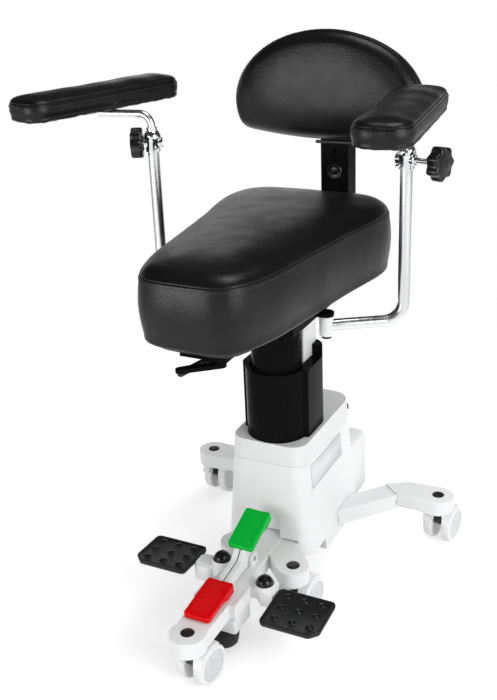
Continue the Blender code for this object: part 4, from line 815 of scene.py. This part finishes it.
def pad_rod(side, post):
    """The bent rod under an arm pad, and the plate on its end."""
    node = "pad_rod_" + side
    low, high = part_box(node)
    level = high.z - ROD_DROP
    heading = ROD_HEADING[side]
    end = Vector((*post.xy, level)) + ROD_REACH[side] * Vector((cos(heading), sin(heading), 0.0))
    path = bend_path([(*post.xy, low.z), (*post.xy, level), end], radius=0.022)
    half = Vector(PAD_PLATE) / 2
    place = Matrix.Translation((*end.xy, high.z - half.z)) @ Matrix.Rotation(PAD_YAWS[side], 4, 'Z')
    outline = rectangle(-half.xy, half.xy, radius=0.008)
    plate = block(outline, -half.z, half.z, place, PLATE_EDGE)
    add_piece("pad_holder_" + side, pipe(path, radius=0.007), BODY_OF[node], SATIN_CHROME, [node])
    add_piece("pad_plate_" + side, plate, BODY_OF[node], BLACK_SATIN)


# Casters

CASTER_PLACES = ("front", "front_right", "front_left", "rear_right", "rear_left")
RIM_PROFILE = ((0.03, 0.01), (0.0345, 0.01), (0.0366, 0.0112), (0.0375, 0.0136), (0.0375, 0.025),
               (0.0369, 0.0275), (0.0356, 0.0292), (0.0338, 0.03), (0.0302, 0.03), (0.0295, 0.0294),
               (0.0292, 0.0272))
FACE_PROFILE = ((0.0288, 0.0265), (0.0288, 0.0284), (0.0278, 0.029), (0.012, 0.0294), (0.0105, 0.0288),
                (0.01, 0.0284), (0.0, 0.0284))
AXLE_PROFILE = ((0.005, -0.011), (0.005, 0.011))
HOOD_IN = 0.04
HOOD_OUT = 0.043
HOOD_REAR = radians(66)
HOOD_FRONT = radians(160)
HOOD_NOTCH = radians(120)
HOOD_FLARE = 0.01
HOOD_STATIONS = [x / 1000 for x in (-30, *range(-16, -4, 2), 0, *range(6, 18, 2), 30)]
WEB_R = 0.032
WEB_HALF = 0.0085
WEB_REAR = HOOD_REAR + 0.09
AXLE_BOSS_R = 0.01
SWIVEL_PROFILE = ((0.021, 0.0775), (0.024, 0.0795), (0.024, 0.0845))
CAP_PROFILE = ((0.0124, 0.111), (0.0124, 0.1172), (0.0118, 0.1178), (0.0108, 0.1184), (0.0059, 0.119),
               (0.0, 0.1191))


def sideways(axle, across=ACROSS):
    """A matrix that lays a (back, up) outline about an axle, with its thickness along the axle."""
    back = Vector((-across.y, across.x, 0.0))
    return Matrix.Translation(axle) @ Matrix((back, UPWARD, across)).transposed().to_4x4()


def hood_shell(place):
    """A hood over both wheels, drawn up in the middle so that the web shows between them; the web is black as
    painted shade between the wheels.
    """
    rings = []
    for x in HOOD_STATIONS:
        lift = within((HOOD_STATIONS[-2] - abs(x)) / HOOD_FLARE, 0.0, 1.0)
        front = HOOD_FRONT - (HOOD_FRONT - HOOD_NOTCH) * lift * lift * (3 - 2 * lift)
        ring = arc((0, 0), HOOD_OUT, HOOD_REAR, front, 24) + arc((0, 0), HOOD_IN, front, HOOD_REAR, 24)
        rings.append([place @ Vector((u, v, x)) for u, v in ring])
    return skinned(rings)


def build_casters():
    web_outline = (arc((0, 0), WEB_R, WEB_REAR, HOOD_FRONT, steps=20)
                   + arc((0, 0), AXLE_BOSS_R, HOOD_FRONT, WEB_REAR + 2 * pi, steps=14))
    for place in CASTER_PLACES:
        joint = f"wheels_{place}_spin"
        axle, across = JOINT_AT[joint], JOINT_AXIS[joint]
        upright = standing(JOINT_AT[f"caster_{place}_swivel"])
        wheels, caster = "wheels_" + place, "caster_" + place
        ways = [along(axle, across), along(axle, -across)]
        rims, faces = (merged(*(turned(profile, way, steps=48) for way in ways))
                       for profile in (RIM_PROFILE, FACE_PROFILE))
        add_piece(f"{caster}_rims", rims, wheels, CASTER_WHITE, [caster + "_wheels"])
        add_piece(f"{caster}_faces", faces, wheels, INSET_GREY)
        axle_rod = turned(AXLE_PROFILE, ways[0], steps=20)
        add_piece(f"{caster}_axle", axle_rod, wheels, STEEL)
        lengthwise = sideways(axle, across)
        hood = merged(hood_shell(lengthwise), turned(SWIVEL_PROFILE, upright))
        add_piece(f"{caster}_hood", hood, caster, CASTER_WHITE, [caster + "_fork"])
        # The web between the wheels is black satin as painted shade: it stands for the shadow inside the fork
        painted_shade_web = block(web_outline, -WEB_HALF, WEB_HALF, lengthwise, edge=0.0006)
        add_piece(f"{caster}_web", painted_shade_web, caster, BLACK_SATIN)
        add_piece(f"{caster}_cap", turned(CAP_PROFILE, upright), "base", DARK_CAP)


# Brake pedals and height pedals

EDGEWISE = sideways(Vector())
PEDAL_HALF = 0.026
PEDAL_PLATE = 0.0105
PEDAL_CORNER = 0.006
PEDAL_RIM = 0.0032
PEDAL_DISH = 0.0014
RIM_SHARES = (0.0, 0.06, 0.22, 0.5, 1.0)
RIB_PITCH = 0.0062
RIB_HEIGHT = 0.0008
RIB_STEPS = 8
FIELD_SIDE = 0.0085
FIELD_END = 0.0095
DOT_PITCH = 0.0058
DOT_PROFILE = ((0.0012, -0.0004), (0.00096, 0.0004), (0.00036, 0.0008))
DOT_SIDE = PEDAL_HALF - FIELD_SIDE + 0.0028
DOT_END = FIELD_END - 0.003
SKIRT_SIDE = ((0.002, -0.004), (0.002, -0.02), (0.0245, -0.02), (0.0695, -0.004))
SKIRT_SPAN = (0.02, 0.0256)
BRAKE_PEDALS = {
    "lock_pedal": ("red_pedal", (-0.262, 0.142), (-0.36, 0.131), RED, "red_plastic"),
    "release_pedal": ("green_pedal", (-0.102, 0.197), (-0.188, 0.167), GREEN, "green_plastic"),
}
LINK_SPAN = (0.0012, 0.0125)
LINK_SIDE = ((-0.18, 0.161), (-0.201, 0.142), (-0.262, 0.1338), (-0.307, 0.1288), (-0.307, 0.1195),
             (-0.159, 0.1195), (-0.153, 0.1285), (-0.126, 0.168), (-0.126, 0.18))
CORE_HALF = 0.0017
FITTINGS = {
    "brake_saddle": ((-0.04, -0.285, 0.0856), (0.04, -0.213, 0.1135), 0.014, 0.006),
    "pedal_knuckle": ((-0.089, -0.212, 0.082), (-0.052, -0.166, 0.117), 0.01, 0.007),
}
FOOT_SOLE = ((0.017, 0.0), (0.0195, 0.0008), (0.0215, 0.003))
FOOT_SIDE = ((0.0262, 0.008), (0.0275, 0.016), (0.0288, 0.029), (0.028, 0.0315), (0.0225, 0.0385),
             (0.021, 0.0398), (0.0085, 0.0402), (0.0072, 0.0415))
FOOT_STEM_R = 0.007
PEDAL_CENTRES = {"right": (0.146, -0.25), "left": (-0.147, -0.193)}
PEDAL_TILTS = {"right": radians(4), "left": radians(-4)}
TREAD_CORNERS = ((0.04, -0.051), (0.056, -0.035), (0.056, 0.046), (-0.056, 0.046), (-0.056, -0.051))
TREAD_CORNER = 0.01
TREAD_MIDDLE = 0.0085
TREAD_SECTION = ((0.003, -0.0065), (0.0012, -0.0059), (0.0008, -0.0035), (0.0, -0.0025), (0.0, -0.0006),
                 (0.0007, -0.0003), (0.0007, 0.0005), (0.0, 0.0008), (0.0, 0.0023), (0.0004, 0.0031),
                 (0.0012, 0.0035), (0.004, 0.0035), (0.0048, 0.0031), (0.0054, 0.002), (0.0062, 0.0016))
STUD_PROFILE = domed(0.0078, 0.001, 0.0042)
STUD_PITCH = (0.034, 0.03)
CUP_FOOT = (0.8, -0.034)
CUP_SECTION = ((0.0035, -0.006), (0.0035, 0.0), (0.0025, 0.0012), (0.0008, 0.0012), (0.0004, -0.001))
HUB_HALF = 0.035


def marks(length, rim, pitch):
    """Places along a length, close together over the rim at both ends."""
    start = [rim * share for share in RIM_SHARES]
    count = round((length - 2 * rim) / pitch)
    middle = [rim + (length - 2 * rim) * i / count for i in range(1, count)]
    return start + middle + [length - place for place in start[::-1]]


def brake_pedal(name, node, rear, front, look, slot):
    """A dished foot plate with a rounded rim, a ribbed field, rows of dots and two skirts."""
    rear, front = Vector((0.0, *rear)), Vector((0.0, *front))
    length = (front - rear).length
    ahead = (front - rear).normalized()
    place = Matrix.Translation(rear) @ Matrix((ACROSS, ahead, ahead.cross(ACROSS))).transposed().to_4x4()

    def height(u, v, edge=PEDAL_RIM):
        drop = PEDAL_RIM - sqrt(PEDAL_RIM ** 2 - within(PEDAL_RIM - edge, 0.0, PEDAL_RIM) ** 2)
        inside = abs(u) < PEDAL_HALF - FIELD_SIDE and FIELD_END < v < length - FIELD_END
        rib = RIB_HEIGHT * (0.5 + 0.5 * cos(2 * pi * v / RIB_PITCH)) if inside else 0.0
        return PEDAL_DISH * (u / PEDAL_HALF) ** 2 - PEDAL_DISH - drop + rib

    bm = bmesh.new()
    rows = []
    for v in marks(length, PEDAL_RIM, RIB_PITCH / RIB_STEPS):
        near = min(v, length - v)
        curve = max(PEDAL_CORNER - near, 0.0)
        limit = PEDAL_HALF - PEDAL_CORNER + sqrt(PEDAL_CORNER ** 2 - curve ** 2)
        row = [(u - PEDAL_HALF) * limit / PEDAL_HALF for u in marks(2 * PEDAL_HALF, PEDAL_RIM, pitch=0.002)]
        rows.append([bm.verts.new((u, v, height(u, v, min(limit - abs(u), near)))) for u in row])
    for lower, upper in zip(rows, rows[1:]):
        for i in range(len(lower) - 1):
            bm.faces.new((lower[i], lower[i + 1], upper[i + 1], upper[i]))
    border = rows[0] + [row[-1] for row in rows[1:-1]] + rows[-1][::-1] + [row[0] for row in rows[-2:0:-1]]
    foot = [bm.verts.new((v.co.x, v.co.y, -PEDAL_PLATE)) for v in border]
    for i in range(len(border)):
        bm.faces.new((border[i - 1], border[i], foot[i], foot[i - 1]))
    bm.faces.new(foot)
    dots = []
    for k in range(round((length - 2 * DOT_END) / DOT_PITCH) + 1):
        dots += [(u, DOT_END + k * DOT_PITCH) for u in (DOT_SIDE, -DOT_SIDE)]
    for k in range(1, int(2 * DOT_SIDE / DOT_PITCH)):
        dots += [(k * DOT_PITCH - DOT_SIDE, v) for v in (DOT_END, length - DOT_END)]
    studs = [turned(DOT_PROFILE, Matrix.Translation((u, v, height(u, v))), steps=8) for u, v in dots]
    whole = merged(bm, *both_sides(softened(SKIRT_SIDE, radius=0.003), *SKIRT_SPAN, EDGEWISE), *studs)
    whole.transform(place)
    add_piece(name, whole, BODY_OF[node], look, [node], sharp=50)


def build_brake():
    for name, settings in BRAKE_PEDALS.items():
        brake_pedal(name, *settings)
    plates = both_sides(softened(LINK_SIDE, radius=0.0025), *LINK_SPAN, EDGEWISE)
    add_piece("rocker_plates", merged(*plates), "rocker", WHITE, ["rocker_lever"])
    # The black core between the white plates is painted shade: it fills the slot between them with the dark of its
    # shadow
    outline = inset_outline(softened(LINK_SIDE, radius=0.0042), inset=0.0022)
    core = block(outline, -CORE_HALF, CORE_HALF, EDGEWISE, edge=0.0005)
    add_piece("rocker_painted_shade_core", core, "rocker", BLACK_SATIN)
    for name, (low, high, corner, edge) in FITTINGS.items():
        outline = rectangle(low[:2], high[:2], corner)
        shape = block(outline, low[2], high[2], IN_PLACE, edge, segments=5)
        add_piece(name, shape, "base", WHITE)
    low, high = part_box("brake_foot")
    profile = [(radius, low.z + rise) for radius, rise in FOOT_SOLE] + [*FOOT_SIDE, (FOOT_STEM_R, high.z)]
    foot = turned(profile, standing((low + high) / 2), steps=12)
    add_piece("brake_rubber", foot, "brake_foot", RUBBER, ["brake_foot"], sharp=30)


def foot_pedal(side):
    """A tread with a raised rim, a layered side, nine domed studs and a hub under it."""
    node = "foot_pedal_" + side
    hinge = JOINT_AT[node + "_rock"]
    centre_x, centre_y = PEDAL_CENTRES[side]
    place = Matrix.Translation((centre_x, *hinge.yz)) @ Matrix.Rotation(PEDAL_TILTS[side], 4, 'X')
    place @= Matrix.Translation((0.0, 0.0, TREAD_MIDDLE))
    shift = centre_y - hinge.y
    corners = [(x, shift + y) for x, y in TREAD_CORNERS]
    if side == "left":
        corners = [(-x, y) for x, y in corners[::-1]]
    tread = layered(softened(corners, TREAD_CORNER, steps=8), TREAD_SECTION)
    hub = pipe([(-HUB_HALF, 0.0, -TREAD_MIDDLE), (HUB_HALF, 0.0, -TREAD_MIDDLE)], radius=0.009)
    spots = [(column * STUD_PITCH[0], shift + row * STUD_PITCH[1], 0.0)
             for row in (-1, 0, 1) for column in (-1, 0, 1)]
    studs = [turned(STUD_PROFILE, Matrix.Translation(spot), steps=28) for spot in spots]
    whole, bumps = merged(tread, hub), merged(*studs)
    for shape in (whole, bumps):
        shape.transform(place)
    add_piece("tread_" + side, whole, BODY_OF[node], BLACK_SATIN, [node])
    add_piece("tread_studs_" + side, bumps, BODY_OF[node], KNOB_BLACK)
    low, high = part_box("pedal_dome_" + side)
    radius, upright = (high.x - low.x) / 2, standing((low + high) / 2)
    dome = turned(domed(radius, low.z, high.z - low.z, steps=12), upright)
    add_piece("dome_" + side, dome, "base", KNOB_BLACK, ["pedal_dome_" + side])
    profile = [(radius * CUP_FOOT[0], low.z + CUP_FOOT[1])]
    profile += [(radius + out, low.z + rise) for out, rise in CUP_SECTION]
    add_piece("dome_cup_" + side, turned(profile, upright), "base", WHITE)


# Back bar and seat lever

BAR_BOSS_BELOW = 0.153
BAR_BOSS_PROFILE = ((0.016, -0.002), (0.016, 0.0018), (0.0147, 0.003), (0.0128, 0.003), (0.0115, 0.002),
                    (0.0045, 0.002), (0.0033, 0.0028), (0.0, 0.0028))
BAR_PLATE_BELOW = 0.092
BAR_PLATE = rectangle((-0.039, -0.005), (0.039, 0.002), radius=0.002)
BAR_PLATE_THICK = 0.006
PADDLE_R = 0.0058
PADDLE_BEND = 0.018
PADDLE_STEPS = ((-0.014, -0.003, 0.0), (-0.028, -0.008, -0.001), (-0.05, -0.042, -0.01))


def bar_details():
    """The round boss on the back bar's front, under its hole, and the plate over it."""
    low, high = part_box("back_bar")
    boss = turned(BAR_BOSS_PROFILE, along(Vector((0.0, low.y, high.z - BAR_BOSS_BELOW)), FORWARD))
    add_piece("bar_boss", boss, "back_bar", KNOB_BLACK)
    place = Matrix.Translation((0.0, low.y, high.z - BAR_PLATE_BELOW))
    plate = block(BAR_PLATE, -BAR_PLATE_THICK, 0.0, place, edge=0.0008)
    add_piece("bar_plate", plate, "back_bar", BLACK_SATIN)


def seat_paddle():
    """The rounded grip on the outer stretch of the seat's lever."""
    pivot = JOINT_AT["seat_lever_swing"]
    level = sum(corner.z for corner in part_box("seat_lever")) / 2
    start = Vector((*pivot.xy, level))
    path = bend_path([start + Vector(step) for step in PADDLE_STEPS], PADDLE_BEND, steps=6)
    end = turned(domed(PADDLE_R, 0.0, PADDLE_R), along(path[-1], path[-1] - path[-2]), steps=28)
    add_piece("seat_paddle", merged(pipe(path, PADDLE_R), end), "seat_lever", BLACK_SATIN)


# Stage, light and camera

class StageNodes(Nodes):
    """A tree made from empty, which tells seen rays and mirrored rays apart."""

    def __init__(self, owner):
        super().__init__(owner)
        self.tree.nodes.clear()
        path = self.node("LightPath").outputs
        self.seen = path["Is Camera Ray"]
        self.mirrored = self.maths('MAXIMUM', path["Is Glossy Ray"], path["Is Transmission Ray"])

    def maths(self, operation, *values):
        return self.node("Math", dict(enumerate(values)), operation=operation).outputs[0]

    def stepped(self, value, span, result=(0.0, 1.0)):
        """A smooth step over a span of values."""
        return self.mapped(value, span, result, 'SMOOTHSTEP')

    def distance(self, place, direction):
        """How far a place lies along a fixed direction."""
        return self.node("VectorMath", {0: place, 1: direction}, operation='DOT_PRODUCT').outputs["Value"]

    def mixed(self, share, first, second):
        """A mix of two shaders."""
        return self.node("MixShader", {0: share, 1: first, 2: second}).outputs[0]


def add_floor():
    """Pale floor that fades to the white backdrop where it is seen or mirrored."""
    shape = bmesh.new()
    bmesh.ops.create_circle(shape, cap_ends=True, segments=64, radius=40.0)
    floor = linked("floor", mesh_of("floor", shape))
    material = bpy.data.materials.new("floor")
    floor.data.materials.append(material)
    nodes = StageNodes(material)
    place = nodes.node("TexCoord").outputs["Object"]
    away = nodes.node("VectorMath", {0: place}, operation='LENGTH').outputs["Value"]
    aside = nodes.stepped(nodes.maths('ABSOLUTE', nodes.distance(place, SET_ASIDE)), SWEEP_SIDE)
    behind = nodes.stepped(nodes.distance(place, SET_AHEAD), SWEEP_BACK)
    on_sweep = nodes.maths('SUBTRACT', 1.0, nodes.maths('MULTIPLY', aside, behind))
    shown = nodes.maths('MAXIMUM', nodes.maths('MULTIPLY', nodes.mirrored, on_sweep), nodes.seen)
    matte = nodes.node("BsdfDiffuse", {"Color": FLOOR_GREY}).outputs[0]
    lift = nodes.node("Emission", {"Strength": FLOOR_LIFT}).outputs[0]
    lifted = nodes.node("AddShader", {0: matte, 1: lift}).outputs[0]
    white = nodes.node("Emission").outputs[0]
    share = nodes.maths('MULTIPLY', nodes.stepped(away, FLOOR_FADE), shown)
    surface = nodes.mixed(share, nodes.mixed(shown, matte, lifted), white)
    nodes.node("OutputMaterial", {"Surface": surface})


def add_surround():
    """World light: white where the backdrop is seen or mirrored, with a dim ceiling over it in mirrors."""
    world = bpy.data.worlds.new("surround")
    SCENE.world = world
    nodes = StageNodes(world)
    place = nodes.node("TexCoord").outputs["Generated"]
    rise = nodes.node("SeparateXYZ", {0: place}).outputs["Z"]
    levels = (WORLD_LIGHT, nodes.stepped(rise, BACKDROP_TOP, (1.0, CEILING_LIGHT)), 1.0)
    plain, mirrored, backdrop = (
        nodes.node("Background", {"Color": WHITE_LIGHT, "Strength": level}).outputs[0] for level in levels)
    around = nodes.mixed(nodes.mirrored, plain, mirrored)
    nodes.node("OutputWorld", {"Surface": nodes.mixed(nodes.seen, around, backdrop)})


def add_lights():
    for name, (place, target, width, height, power) in LIGHTS.items():
        lamp = adjusted(bpy.data.lights.new(name, 'AREA'), shape='RECTANGLE', size=width, size_y=height,
                        energy=power)
        turn = (Vector(target) - Vector(place)).to_track_quat('-Z', 'Y').to_euler()
        adjusted(linked(name, lamp), location=place, rotation_euler=turn, visible_camera=False,
                 visible_glossy=name != UNMIRRORED)


def add_camera():
    lens = FOCAL_PIXELS * SENSOR / IMAGE_HEIGHT
    data = adjusted(bpy.data.cameras.new("camera"), sensor_fit='VERTICAL', sensor_height=SENSOR, lens=lens)
    SCENE.camera = linked("camera", data)
    level = Matrix.Translation(CAMERA_PLACE) @ Matrix.Rotation(-CAMERA_YAW, 4, 'Z')
    turn = Matrix.Rotation(pi / 2 - CAMERA_PITCH, 4, 'X') @ Matrix.Rotation(-CAMERA_ROLL, 4, 'Z')
    SCENE.camera.matrix_world = level @ turn


dress(WHITE, "white_enamel", "base_casting", "front_arm", "rail_right", "rail_left", "head_right",
      "head_left", "pedal_post_right", "pedal_post_left", "guide_profile")
dress(WHITE, "white_enamel", "brake_block", edge=0.005, segments=4)
dress(WHITE, "white_plastic", "housing_shell", "rear_cover")
dress(LABEL_GREY, "white_plastic", "label_plate", edge=0)
dress(PALE_GREY, "pale_grey_plastic", "collar_cap")
# The arm brackets take the black finish as painted shade: they sit in the shadow under the seat board, though
# their own finish is white
dress(BLACK_GLOSS, "black_metal", "inner_tube", "seat_mechanism", "seat_lever", "back_bracket", "back_bar",
      "arm_bracket_right", "arm_bracket_left")
dress(BLACK_GLOSS, "black_metal", "outer_sleeve", edge=0.0025, segments=3)
dress(BLACK_SATIN, "black_plastic", "charge_socket", "battery_pack", "back_shell")
dress(PLY, "plywood", "seat_board")
dress(STEEL, "steel", "rocker_pin", "lift_actuator", edge=0.0008)
build_upholstery()
build_arms()
build_casters()
build_brake()
for side in SIDES:
    foot_pedal(side)
bar_details()
seat_paddle()

SCENE.view_settings.view_transform = 'Standard'
add_floor()
add_surround()
add_lights()
add_camera()
